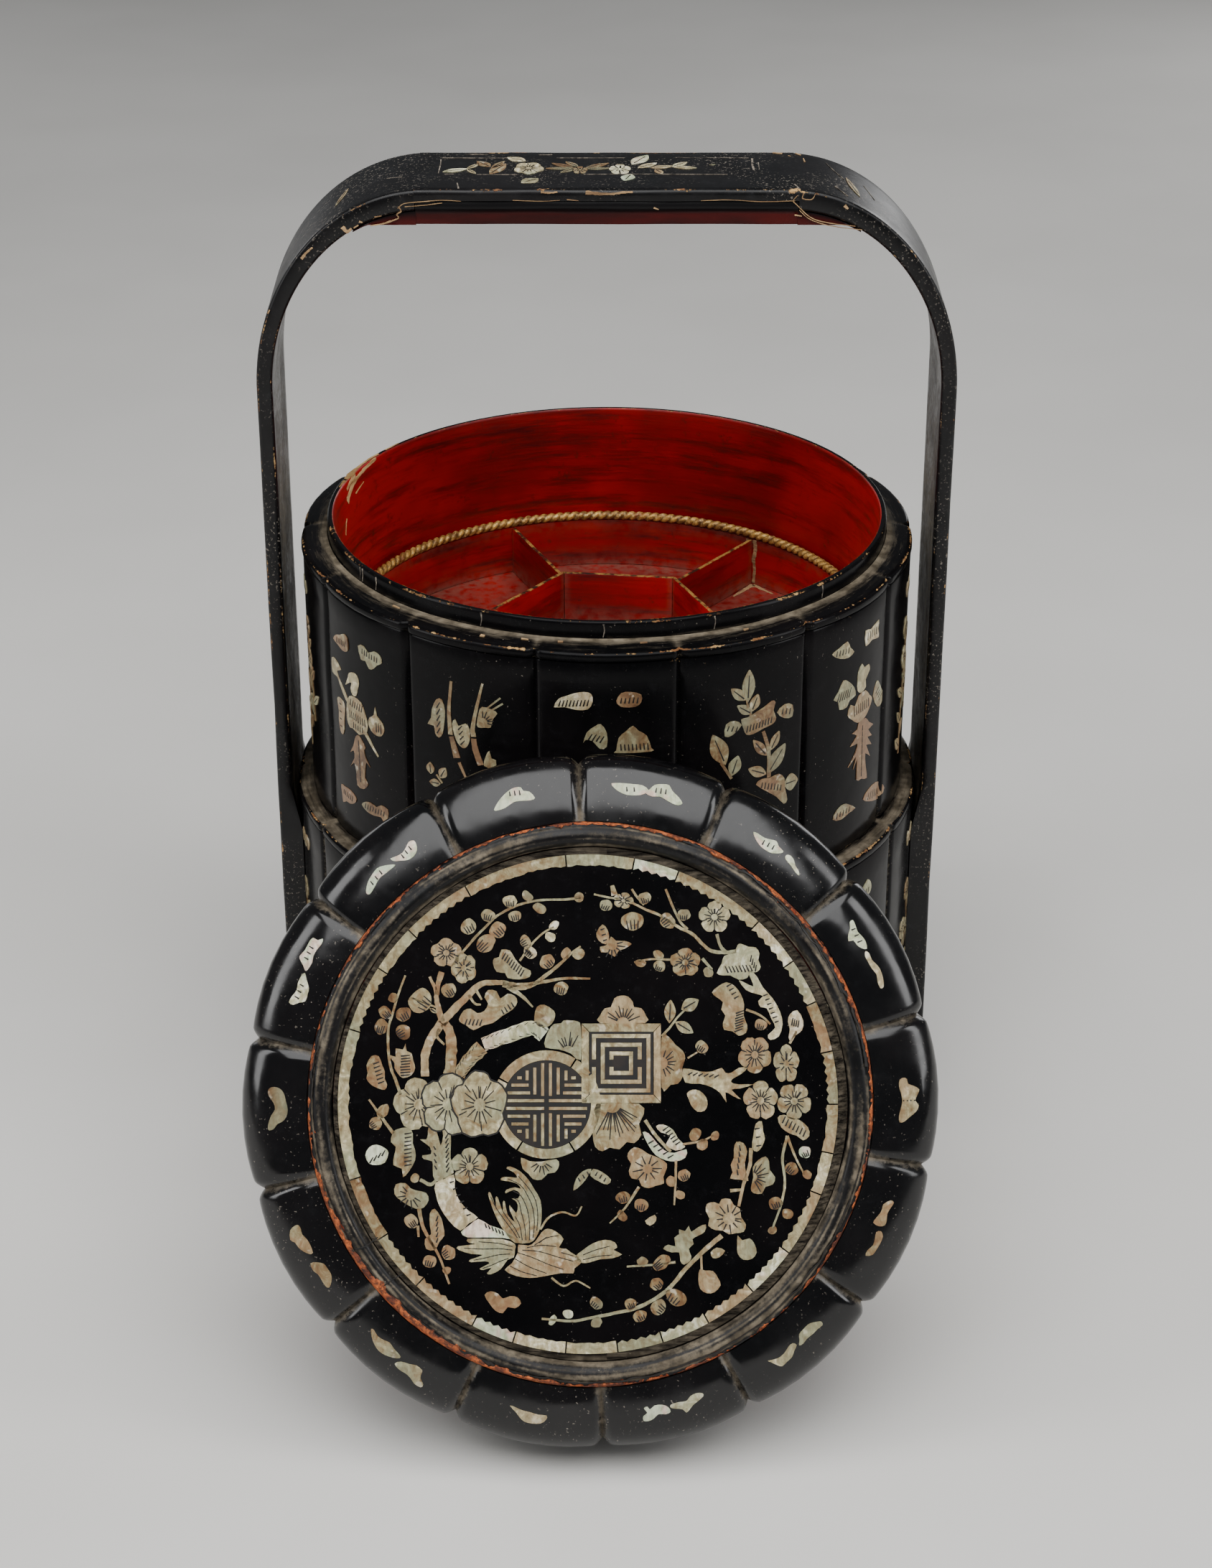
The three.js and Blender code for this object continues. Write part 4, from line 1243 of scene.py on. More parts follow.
for tint, first, second in zip(RING_TINTS, joint_angles, joint_angles[1:] + [joint_angles[0] - TAU]):
    outer, inner = [], []
    gap = 0.003
    steps = max(4, round((first - second) / 0.02))
    scallops = chance.random() < 0.55
    for step in range(steps + 1):
        angle = first - gap + (second - first + 2 * gap) * step / steps
        outer.append((RING_X + RING_OUT * math.cos(angle), RING_OUT * math.sin(angle)))
        bite = RING_IN + (1.0 * (step % 2) if scallops else chance.uniform(-0.3, 0.5))
        inner.append((RING_X + bite * math.cos(angle), bite * math.sin(angle)))
    ring_inlay.plate(outer + inner[::-1], tint)
ring_inlay.finish()

# Round medallion with a plain key fret, and the square one that overlaps it
medals = Inlay("lid_medallions", on_panel, "lid")
ground = Shape()


def ground_plate(outline, rise):
    points = [on_panel(x, y, level) for level in (rise, -SHELL_SINK) for x, y in outline]
    ground.add(points, tube_faces(2, len(outline)), 0, 0.5, 0)


ROUND_C = (-18, -0.1)
ground_plate(turned(oval(18.2, 18.2, 0, 48), *ROUND_C), 0.12)
ground_plate([(-0.4, 4.0), (25.9, 4.0), (25.9, 29.8), (-0.4, 29.8)], 0.16)
build("lid_medallion_ground", ground, ENGRAVED, "lid")
for first, second, tint in ((58, 150, 0.55), (152, 236, 0.7), (238, 300, 0.5), (302, 394, 0.6),
                            (396, 416, 0.45)):
    arc = [math.radians(first + (second - first) * step / 14) for step in range(15)]
    band = [polar(22.3, angle, 0).to_2d() for angle in arc]
    band += [polar(18.3, angle, 0).to_2d() for angle in reversed(arc)]
    medals.plate(turned(band, *ROUND_C), tint)


def fret_bar(x0, y0, x1, y1, width=1.2, tint=0.55):
    half = width / 2
    low, high = (min(x0, x1) - half, min(y0, y1) - half), (max(x0, x1) + half, max(y0, y1) + half)
    medals.plate([low, (high[0], low[1]), high, (low[0], high[1])], tint, 0.3)


cx, cy = ROUND_C
for sx in (-1, 1):
    for sy in (-1, 1):
        for x0, y0, x1, y1 in ((1.6, 1.6, 16, 1.6), (1.6, 4.2, 1.6, 16.4), (4.8, 4.8, 4.8, 14.6),
                               (7.4, 4.8, 15.4, 4.8), (8, 8, 13.8, 8), (8, 10.6, 8, 13.4),
                               (10.8, 11, 11.4, 11)):
            fret_bar(cx + sx * x0, cy + sy * y0, cx + sx * x1, cy + sy * y1)
for text, tint in (("-3.6,0.6 -0.4,3.9 25.9,3.9 29,0.6", 0.62),
                   ("-3.6,33.2 -0.4,29.9 25.9,29.9 29,33.2", 0.5),
                   ("-3.6,0.9 -0.6,4.1 -0.6,29.7 -3.6,32.9", 0.55),
                   ("29,0.9 29,32.9 26.1,29.7 26.1,4.1", 0.7)):
    medals.plate(trace(text), tint, 0.3)
for reach, gap in ((11.2, -1), (7.6, 1), (4.0, -1)):
    sx, sy = 12.7, 16.9
    for side in (-1, 1):
        fret_bar(sx - reach, sy + side * reach, sx + reach, sy + side * reach, 1.6, 0.62)
        low, high = sy - reach + 1.7, sy + reach - 1.7
        spans = ((low, sy - 2.4), (sy + 2.4, high)) if side == gap else ((low, high),)
        for first, second in spans:
            fret_bar(sx + side * reach, first, sx + side * reach, second, 1.6, 0.6)
medals.finish()

# Flowers and leaves of the panel
panel = Inlay("lid_panel_flowers", on_panel, "lid")
flower(panel, -70.5, 0, 10.5, 11, 100, 0.62, 0.22)
flower(panel, -58.5, 0, 11, 12.6, 80, 0.68, 0.30, True)
flower(panel, -45.5, -0.2, 11.5, 13.6, 95, 0.6, 0.38, True)
for x, y, rx, ry, turn, tint in (
        (-59.2, 62.3, 6.4, 6, 20, 0.55), (-52, 56, 5.4, 6.4, 40, 0.5), (13.6, 83.8, 4.2, 3.4, 0, 0.5),
        (51, 77, 6.6, 6.6, 90, 0.6), (39, 58.4, 6.4, 6, 20, 0.3), (67.6, 20.4, 7, 7.8, 55, 0.45),
        (80.5, 16.6, 5.4, 8, 90, 0.5), (70, 1.5, 7.2, 8.2, 18, 0.55), (83.8, 1.3, 7.2, 7.6, 54, 0.45),
        (-49.6, -25.6, 7.6, 7.8, 90, 0.5)):
    flower(panel, x, y, rx, ry, turn, tint)
panel.traced((
    ("""-40,58 -38.5,54.5 -35,54 -34,52 -29,51.4 -25,52.4 -24.6,55 -28,56.6 -31,60 -33,63.2 -36.5,63.6
     -37.5,60.6 -39.5,60""", 0.4, (-35.5, 61, -28, 54, 9, 3.4, 60)),
    ("""-54,35 -52,38.6 -49,39.3 -46.5,37.5 -43.5,38.5 -42,41.5 -43.5,44 -42,47 -38.5,46.5 -37,43.5 -34,45.5
     -31,44.5 -30,42 -32,39 -36,36.5 -40,33.5 -44,32.5 -48,30.5 -51,32.5 -53,33.5""", 0.5,
     (-51, 34, -45, 33.6, 5, 3, 70), (-36, 38, -32, 41, 4, 2.6, 120)),
    ("""-83,20.5 -80,19.5 -80,23 -77,22.5 -76,25 -75.5,22 -73.5,21 -72.8,18 -72,15 -73.5,12 -77,10.8
     -79,12.5 -80.5,15 -80.5,17""", 0.45, (-76, 20, -76, 12, 8, 4.4, 5)),
    ("""-92,16 -90,19.8 -87,19.8 -85.5,16 -84.5,13.5 -84.5,10.5 -83.5,8 -84.5,6 -87,6.5 -90,8 -92,10.5
     -91.5,13""", 0.3, (-88, 17, -86, 9, 6, 3, 20)),
    ("""-18.5,23.4 -18.5,27 -17,30.5 -15,33 -12,33.3 -11,34.5 -8,34.5 -5,34 -3.9,31.5 -3.9,18.2 -8,20.9
     -13,22.6""", 0.5, ("fan", -9, 21, 3, 9, 60, 130, 6)),
    ("-23,36 -22,40 -19,41 -15,38.5 -14.5,36 -16,33 -19,31.5 -22.5,33", 0.35),
    ("""52,54 54,58 55,61 59,62.5 60.5,65.5 62,66 65,64.8 68,64.5 69.5,62 69,59.5 70,56.5 68.5,54.5 65.5,54
     64.5,52 61,51.3 57.5,53 54.5,53""", 0.75, (56, 55.5, 66, 56, 8, 3.4, 115), (66, 60, 68, 56, 4, 3, 80)),
    ("5,74 2.5,70.5 3.3,67.5 6.3,65.8 7.7,68 7.2,71.5", 0.3, (5, 72, 6, 67.5, 3, 2, 20)),
    ("6.5,65.4 4,64.8 4.5,62.5 7,62.5 10,60.7 11.5,63 14,64 17,66 14,67.2 10.5,67.3 8.5,69", 0.35,
     ("fan", 9, 65.5, 2, 6, -120, 20, 6)),
    ("4,33.4 4,36.5 6,39.5 8.5,40 9.8,43.5 12.5,44.7 15.5,44.3 17.5,42 18,40 21,39.5 22.8,36.5 22.5,33.4",
     0.55, ("fan", 13.4, 33.4, 2.5, 8, 20, 160, 9)),
    ("29.3,27.5 32.5,27.5 35,24.5 38,22 39,19 37.8,15 38,11.5 36,8.5 33,8 31.5,6.3 29.3,7", 0.35,
     ("fan", 29.3, 17, 2.5, 7, -70, 70, 8)),
    ("39.7,4.5 42,6 45,5.5 47.5,3 48.2,0 47,-2.6 44,-3 41.5,-0.5 40.5,2", 0.55),
    ("""50,46 52.5,48.5 56,50.2 59.5,48.5 62,45 63.2,41 63,36.5 64.5,32.5 64,29.5 61,28.2 58.5,30 55,30.7
     54.5,33.5 55.5,36.5 53.8,39 54.5,42 52,44""", 0.5, (61.5, 38, 61, 30.5, 8, 4, 20),
     (57, 49, 60, 44, 4, 2.6, 30)),
    ("82,37 85,38.7 87.5,34.5 87,30.5 84.5,28.5 82.5,26 81.5,27.5 82,31 81.2,34", 0.85,
     (83, 34, 85.5, 33, 4, 3.4, 80)),
    ("""-80,-10.5 -75,-9.5 -73,-12 -73,-16 -72,-19 -72,-23 -74.5,-27.5 -77,-30 -77.5,-26.5 -81,-25
     -80.5,-20.5 -80,-17.5 -82,-15.5 -81.5,-12.5""", 0.4, (-75, -12, -75, -25, 9, 3.4, 10)),
    ("-92.5,-21 -91,-17.8 -88,-16.6 -84.5,-18 -83,-20 -84.5,-24 -88,-25 -91,-24.3", 0.97,
     (-90, -23, -85, -20, 4, 3, 60)),
    ("""-28.5,-22 -25,-23.4 -20,-23.6 -14,-22.6 -12.8,-25 -14.5,-28 -17.5,-28.5 -20,-31 -23.5,-30.8
     -25.5,-28.5 -27.8,-26.5""", 0.5, ("fan", -20, -23.4, 2, 6, -150, -30, 6)),
    ("-7,-35.5 -5.8,-30.6 -3,-27.5 0.4,-26.6 -1,-29.6 -3.6,-33", 0.4, (-4.6, -31, -1, -28.4, 3, 2, 120)),
    ("0,-29.4 1.2,-26.6 5,-28 8.5,-31 7,-33 4,-32", 0.5, (2.5, -28.6, 6, -31, 3, 2, 60)),
    ("""-80.5,-37 -80,-33 -76,-32.5 -74,-34.5 -71.5,-35.5 -67.5,-36.5 -66.5,-39.5 -68.5,-42.5 -71.5,-43
     -75,-41.5 -78,-39.5""", 0.4, ("fan", -74, -37.5, 2, 6, 130, 330, 8)),
    ("""-66,-45 -64,-43 -61.5,-46.5 -60.5,-50 -60,-54 -62,-56.5 -64,-60 -67.5,-59.5 -68,-55.5 -65.5,-53.5
     -66,-50""", 0.35, (-63, -47, -63, -56, 5, 2.4, 70)),
    ("""-43.5,-78.5 -41,-77 -38,-78 -36,-80 -33,-79 -30,-79.5 -28.5,-82 -31,-84 -34,-83.5 -36,-86 -39,-85
     -41.5,-82""", 0.2),
    ("2.5,0.2 20,0.2 22,-4 20,-8 21,-12.5 18,-16 15,-15.5 12,-18.5 8,-17.8 5,-19.3 2,-17.5 1,-12 2.5,-6",
     0.5, ("fan", 9, 0, 3.5, 15, -115, -25, 12)),
    ("21.5,-11.5 24,-12 27,-15.5 30.5,-19 34.5,-20 39.5,-18.5 39,-22 35,-23.5 31,-23 27,-21 24,-17", 1.1,
     (25, -15.5, 33, -21.5, 5, 3, 30)),
    ("27,-9 30,-8.3 34,-10.5 36,-14 39,-17.5 35,-19 31,-16.5 33,-13 29,-11.5", 0.9,
     (31, -10, 36, -16, 6, 3, 35)),
    ("""15.5,-20 18,-17.7 21,-18.5 24,-20.5 28,-22 31.5,-24.5 31,-27.5 30,-30 30.3,-32.5 27,-33.5 24,-34.5
     21,-33.5 20,-31 17,-30.5 15.8,-27.5 16.8,-24.5 15.5,-22.5""", 0.42,
     ("fan", 23.5, -26.5, 2, 6.5, 0, 340, 10)),
    ("""60,-15.5 63,-16 64.5,-19.5 63.5,-24 64,-28 65,-31.5 61.5,-31 57.5,-30.5 58.5,-28 57.7,-25 59,-22
     59,-18.5""", 0.35, (61.5, -18, 60.5, -28, 5, 2.6, 100)),
    ("""66,-34.5 67,-30 66.8,-26 69,-23 72,-21.5 73.5,-23.5 73.8,-27 76,-30 75,-33 72,-34 70.5,-36.8
     67,-36.5""", 0.4, ("fan", 66.6, -30, 2, 7, -60, 70, 8)),
    ("68,-8 70.5,-7 71,-11 71.8,-14 70.5,-17.5 68.5,-19.5 66.5,-18 67,-13", 0.65,
     (68.6, -10, 69.4, -17, 3, 2.4, 10)),
    ("77,-5.5 79.5,-4.3 83,-5.5 86,-6.5 89.5,-9.5 90,-13 87.5,-14.8 85,-13 82,-12 78.5,-9.5", 0.45,
     (79.5, -6.5, 88, -12, 7, 3.4, 65)),
    ("""47.5,-44 48,-41 51,-40.3 53,-41 54,-39 57.5,-39 59,-41.5 61.5,-43 62,-46.5 64,-49.5 63,-52.5 60,-53
     57,-53.5 54.5,-52 51.5,-51.8 48.5,-50 49,-47""", 0.6, ("fan", 57, -47, 2.5, 6.5, 0, 340, 12)),
    ("""30,-59.5 32,-57.8 35,-58.5 34.5,-55 36.5,-53.5 36.5,-51.5 39,-52.2 40.5,-50 41.5,-52.5 44.5,-50.5
     47.5,-49.5 47,-52.5 44.5,-54 42,-55.5 42.5,-57.5 40.5,-59.5 41.5,-62.5 41,-64.5 38.5,-66 37,-64.5
     36.5,-61 33.5,-61""", 0.4),
    ("45,-68 47.2,-68.5 50.5,-68.7 52.5,-71.5 53.6,-74.5 51,-77.4 48,-77.8 45.2,-76 44.4,-72", 0.45),
    ("60.6,-54 62.5,-56 65.5,-55.2 67.5,-57.5 68.4,-61 66.5,-63.6 63,-64 60.6,-61.5 60.4,-58", 0.5),
    ("22.5,-48 26.5,-45.5 27,-48 24.5,-50", 0.6),
    ("49.5,-61 52,-59 55.4,-60.3 53,-63 50.4,-63.3", 0.5),
))
panel.finish()

# Stems and branches: (points, width at the start, width at the end)
branches = Inlay("lid_panel_branches", on_panel, "lid")
for text, start, end in (
        ("-68,11.5 -68,20 -65.5,27 -61,33.5", 3.2, 3.6), ("-58,12.5 -57,22 -57.6,29 -60,33.5", 4.6, 3.6),
        ("-62,31 -63,28 -60,24.5", 1.4, 0.8), ("-61,33 -58,37 -52,43 -47,48 -43,50 -36,50", 3.6, 2),
        ("-61,34 -63,42 -63.6,47 -66,52.5", 2.6, 1), ("-63,45 -62.4,50 -61,54.4", 1.8, 2.4),
        ("-36,49.4 -29,48 -24,49 -19,52.5 -12.4,57.8 -8,62 -4,65", 2.2, 0.7),
        ("-36,50 -29,49 -20,50.3 -10,51.8 0,51.7", 2, 0.8), ("-34,48.4 -28,44.5 -23.6,40", 2.2, 0.7),
        ("-47,47 -44.6,43", 1.4, 0.8), ("-50,45 -47.5,41.5 -45,41", 1.2, 0.7),
        ("-53,62 -47,69 -42,74 -39,77 -34,80 -28,82.5 -20,84 -10,84.3 -4,85", 1, 0.9),
        ("-29,59 -24.6,65.3 -19.6,70.3 -15,73", 0.9, 0.7),
        ("-76,53 -79,45 -81,38 -83,31 -83,22 -82,15 -80,10 -78,4", 0.8, 1.3),
        ("-74,44 -69,42 -63.5,40", 0.8, 0.8), ("1.5,86.4 8,85 17,84", 0.8, 0.8), ("9,90 10,86", 1.6, 2.6),
        ("17,88.5 19,85.5 22,82", 0.9, 0.9),
        ("17,83 23,80 28,78 36,73 42,70 46,66 50,63 56,62.5 60,63", 0.9, 1.6),
        ("31,88.5 34,81 37,75 40,72", 1, 1), ("52,70 53.5,65 56,62.5", 1.3, 1.3),
        ("33,59.5 25,59.7 18,58.5", 0.9, 0.6), ("46,60 50,55.4", 1.2, 1),
        ("29.5,28 33,32 36,36 40,40", 1, 0.7), ("40,19 44,21.5", 0.8, 0.6),
        ("64,39 70,36.5 74,33", 1, 0.8), ("84.8,30 82,25", 1, 1),
        ("66,-18 65.6,-25 63,-33 61,-42", 1.6, 1.2), ("57.5,-35.6 62,-35.2", 1.4, 1),
        ("81,-13 79,-22 80,-32 78.5,-41 75,-51", 1.2, 0.8), ("81,-13 84,-21 88,-29", 1.1, 0.7),
        ("38,-16.5 46,-15 51,-12.5", 0.9, 0.6), ("22.5,-6.5 27,-13 33,-19.5", 1.4, 1.2),
        ("20,-34 14,-43 8,-49", 1.1, 0.6), ("35.2,-23 35,-33 34.5,-41.5", 1, 0.7),
        ("54,-54 47,-60 39,-68 31,-77 20,-83.5 10,-86 0,-88 -8,-89.3 -20,-88.3", 2, 0.9),
        ("45.6,-62 45.8,-69", 0.8, 0.9), ("35,-65 27,-66 15,-66.8", 1, 0.7),
        ("-91,2 -86,-5 -81,-12", 0.8, 1.4), ("-70,-31 -66,-33 -63.6,-31.6", 1.4, 1.4),
        ("-70.5,-43 -69,-50 -66,-56 -62,-63 -58,-74", 1.6, 0.8), ("-71,-50 -70.6,-54.6", 1.2, 0.8),
        ("-20.6,-51.5 -17,-46.5 -11.5,-44.4 -6,-45.8 -3.5,-42", 0.9, 0.6),
        ("-16,-71.4 -11,-74.8 -6,-72.7 0,-75.7", 0.9, 0.6)):
    branches.plate(stem(trace(text), start, end, 0.14), chance.uniform(0.3, 0.55))
# Two thick boughs, shaded by short lines along both sides
for text, start, end, tint in (("-54,12 -50,18 -44.5,23.5", 5, 6.5, 0.35),
                               ("-44,24.6 -36,27.5 -24,31.4 -19,28.4", 5.6, 6.4, 0.9)):
    points = trace(text)
    branches.plate(stem(points, start, end, 0.1), tint)
    line = smooth_line(points, 4)
    for spot, after in zip(line, line[1:]):
        way = (after - spot).normalized()
        side = Vector((-way.y, way.x))
        for shift in (0.34, -0.34):
            branches.cut(spot + side * start * shift, spot + side * (start + 2) * shift + way * 1.6, 0.35)
branches.traced((
    ("""-66.5,-9.5 -64,-9.8 -62.5,-13.5 -61.5,-17 -60.5,-13 -60.8,-9.5 -57.8,-11 -57.3,-15.5 -57.5,-22
     -56.2,-28.2 -63.6,-31.8 -64.8,-26.5 -65,-23.5 -68.5,-22.5 -69,-21 -65.5,-20.5 -66,-17.5 -70,-14.5
     -67.5,-14.5 -66.8,-12.5""", 0.5, (-59, -13, -58.6, -27, 8, 2.6, 60),
     (-64, -18, -63.6, -26, 4, 2, 120)),
    ("""-63.6,-32.4 -56.2,-28.9 -55.8,-34 -54.2,-39 -50.5,-43.5 -46.3,-46.6 -50,-49 -53.5,-52 -58.5,-47.5
     -62,-42 -63.5,-37""", 0.85, (-57, -32, -50, -45.5, 6, 2, 20)),
    ("-53.2,-52.6 -49.7,-49.8 -46,-47.2 -41.5,-49.8 -36.5,-51.5 -31,-55.6 -36,-55 -44,-54.8 -50.5,-54.8",
     1.0, (-43, -50, -36, -53, 6, 2.2, 110)),
    ("""38.2,14.8 45,13.5 50,13.5 54,15 55.5,13 58,13 61,15 64.5,15 62,12.5 58.5,10.5 58,9 61,8.2 67,8.2
     61.5,6.5 58,6 62,2 58.5,3.5 55.5,5 56,0.8 53.5,4.5 50,7 45,8.5 39,9""", 0.6,
     (41, 12.6, 52, 11.6, 6, 2.4, 30)),
    ("""66,55 68.5,52.5 71,48 75,43.5 78,38 79,33 77.5,28 74,26.5 73,28.5 76,31.5 74.5,35 72.5,39.5 70,40
     69,42.5 71,44.5 68,45.5 64,47 61,51 63.5,50 67,48.5 66,51.5 65,54""", 0.8,
     (72, 45, 76.6, 34, 7, 2.2, 20)),
))
branches.finish()

# Buds: (x, y, radius across, radius along)
buds = Inlay("lid_panel_buds", on_panel, "lid")
for text, tint in (
        ("-58,46.7,2.9,3.2 -69.6,42.4,4.9,4.9 -50,73,3.4,3.2 -42,77.5,2.8,2.6", 0.5),
        ("-43.2,66,3.4,4.5 -37.9,71.6,3.5,3.3", 0.3), ("-33,83.3,2.9,2.6 -30.9,77.3,2.7,2.4", 0.62),
        ("-26,85.6,2.6,1.8 -21,80.5,2.9,2 -4.5,85,2,2", 0.25),
        ("-26.7,66.7,2.9,2.4 -17.6,58.5,3.1,3 -9.8,62,2.4,2", 0.45),
        ("-24.9,62.3,2.8,2.4 -16.5,68.7,2.3,2 -15,73.5,1.6,2.4", 0.85),
        ("-4.7,61.7,2.6,2.2 -12.1,47.4,2.9,2.9", 0.4),
        ("-80.9,43.7,2,2.2 -84.2,37.6,2.3,3.2 -86,31.7,2.6,3.4 -76.7,36.8,3.2,3 -77.1,29.6,3.2,3.2", 0.08),
        ("-85.5,-3,2.2,3.4 -88.5,-8,2.6,2.8", 0.3),
        ("6.4,81.7,2.8,2.4 17.4,75.1,4.6,4.2 22.4,84.6,2.7,2.5", 0.4),
        ("""31.6,75.3,3.4,3 38.4,77.8,2.7,2.5 27.9,61.4,2.3,1.8 28.4,56.7,2.5,2.3 20.5,58,2.3,1.6
         48.4,54.2,2.2,2""", 0.35),
        ("45.7,23.5,2.8,2.6 70,32.6,2.5,2.5", 0.45), ("88.2,-19.9,2.5,2.5", 0.95),
        ("82.6,-26.6,2.8,2.6 89,-29,2,1.8 76.2,-40.9,2.9,2.7 81.1,-45.3,2.4,2.2 75,-52,1.9,1.6", 0.15),
        ("43,-12.6,2.2,3 46,-16.7,2.2,2.6 51.3,-13,2,1.8", 0.2),
        ("13.4,-38.4,2.9,2.6 20.9,-41.6,2.9,2.8 13,-46,2.6,1.8", 0.15),
        ("33.2,-31.9,1.9,2.4 38.6,-29.4,2.6,2.5 36.9,-37.4,2,1.9", 0.3),
        ("21.5,-65,2.2,2.2 29,-65.5,2.6,4.2", 0.2),
        ("27.4,-74.1,2.8,2.7 35,-79.6,4.4,3.5 28.2,-83.8,3.4,3 16.6,-82.3,2.5,2.4 20.5,-87.3,3,2.4", 0.28),
        ("2.4,-82,3,2.4 2.6,-90,2.4,2.2", 0.25), ("-9.2,-86.6,2.2,1.9 -15.4,-89,2.3,1.4", 0.9),
        ("-72,-30.4,2,1.8 -73.5,-48.4,2.6,3.2", 0.45),
        ("-66.1,-64.8,2.9,2.8 -58.5,-61.2,3,3 -59,-68.5,1.7,1.6", 0.3)):
    for spec in text.split():
        bud(buds, *(float(value) for value in spec.split(",")), tint)
leaves(buds, """32.5,33.5,33,43,4.6 37.5,39,44.5,43,5.4 35,33.8,42.3,29.4,4.6 -66,39.5,-63,37.5,1.6
    -27,64,-24,61,2""", 0.5)
buds.finish()

# A long-plumed bird on the wing: the raised wing, the lowered one, the body and the tail
bird = Inlay("lid_panel_bird", on_panel, "lid")
bird.traced((
    ("""-31,-57 -34.5,-53.5 -38,-48 -40.5,-42 -42,-37 -41,-36.5 -38.8,-42.5 -39,-38.5 -38,-38.5 -36,-44.5
     -36,-40.5 -35.2,-40 -34,-45.5 -31,-48.5 -33,-44 -33.2,-41.5 -30.5,-44.8 -29.8,-41.5 -31,-39.5
     -32.3,-38.8 -29.8,-38.8 -29,-36.6 -31.5,-35.2 -34.8,-36.6 -34.5,-35.2 -31,-34.2 -28.6,-34.8 -30,-32.8
     -33,-31.8 -36.8,-31.2 -36,-30 -32.5,-30 -30,-30.2 -31.5,-28 -34.5,-26.4 -33,-25.6 -29,-27.5 -25.5,-31
     -23,-35 -20.5,-39.5 -20,-46 -20.7,-51 -22.5,-55 -25,-57""", 0.5),
    ("""-31,-57.5 -36,-55.6 -44,-55.4 -50.5,-55.4 -50,-57 -47,-57.6 -54.5,-58.5 -54,-60 -49,-61.6 -44,-62
     -49.5,-64 -49,-65 -43.5,-64.6 -41.5,-65.5 -45.5,-67.6 -44,-68.2 -40.5,-67.2 -42.5,-69.5 -41,-70 -37,-68
     -34,-64 -31.5,-63 -31,-60""", 0.65),
    ("""-29.6,-57.8 -29.8,-61 -32.3,-65.5 -35.2,-68.2 -31,-70.5 -25,-71.5 -19,-70.8 -12,-69.5 -7,-69.6
     -6.5,-67.5 -3.5,-65 -5.5,-62.5 -8,-61 -10,-59.5 -13,-59 -11,-55.5 -14,-52.5 -17.5,-51.2 -20,-52.7
     -22.6,-56.4 -25.4,-58.2 """, 0.55),
    ("-6.4,-63 -3,-60 1,-57.3 6,-55.8 10,-56.8 11,-59 9.5,-60 13,-61.8 9,-63.4 4,-63.8 0,-65 -3.4,-65.3",
     0.6),
))
for text in (
        "-30,-55 -32,-52 -35,-48 -38.5,-43 -41,-38", "-29,-55 -31,-51 -34,-47 -36,-44",
        "-28,-56 -29,-50 -31,-46", "-26.5,-56 -27,-50 -28.5,-44 -29.4,-40 -31.5,-38.6",
        "-25,-56 -25,-49 -26,-43 -28.6,-37.6 -32,-35.6",
        "-23.6,-55 -23,-49 -23.6,-43 -25.6,-38 -28.6,-33.4 -34,-30.6",
        "-22,-52 -21.6,-46 -22.4,-40 -25,-35 -29.6,-29.6", "-32,-58.6 -38,-57.2 -46,-56.6",
        "-32,-60 -38,-59.4 -44,-59.6 -52,-59.2", "-33,-61.6 -38,-62 -43,-63.2 -48,-64.2",
        "-33.6,-63.4 -37,-64.6 -41,-66.4 -44.4,-67.6", "-30,-61 -24,-63 -17,-66 -11,-68",
        "-31,-63.6 -25,-67 -18,-69.6", "-33,-66.6 -28,-69 -22,-70.6",
        "-28,-60 -21,-60.6 -13,-63 -7,-64.6", "-26,-59 -20,-58 -14,-58.6", "-23,-58 -18,-55 -13,-54",
        "-21,-57 -18,-54.6", "-12,-61 -7,-62.4", "-3,-62 2,-60 8,-58.4", "-3,-64 3,-62.6 9,-62"):
    line = smooth_line(trace(text), 3)
    for spot, after in zip(line, line[1:]):
        bird.cut(spot, after, 0.42)
bird.finish()

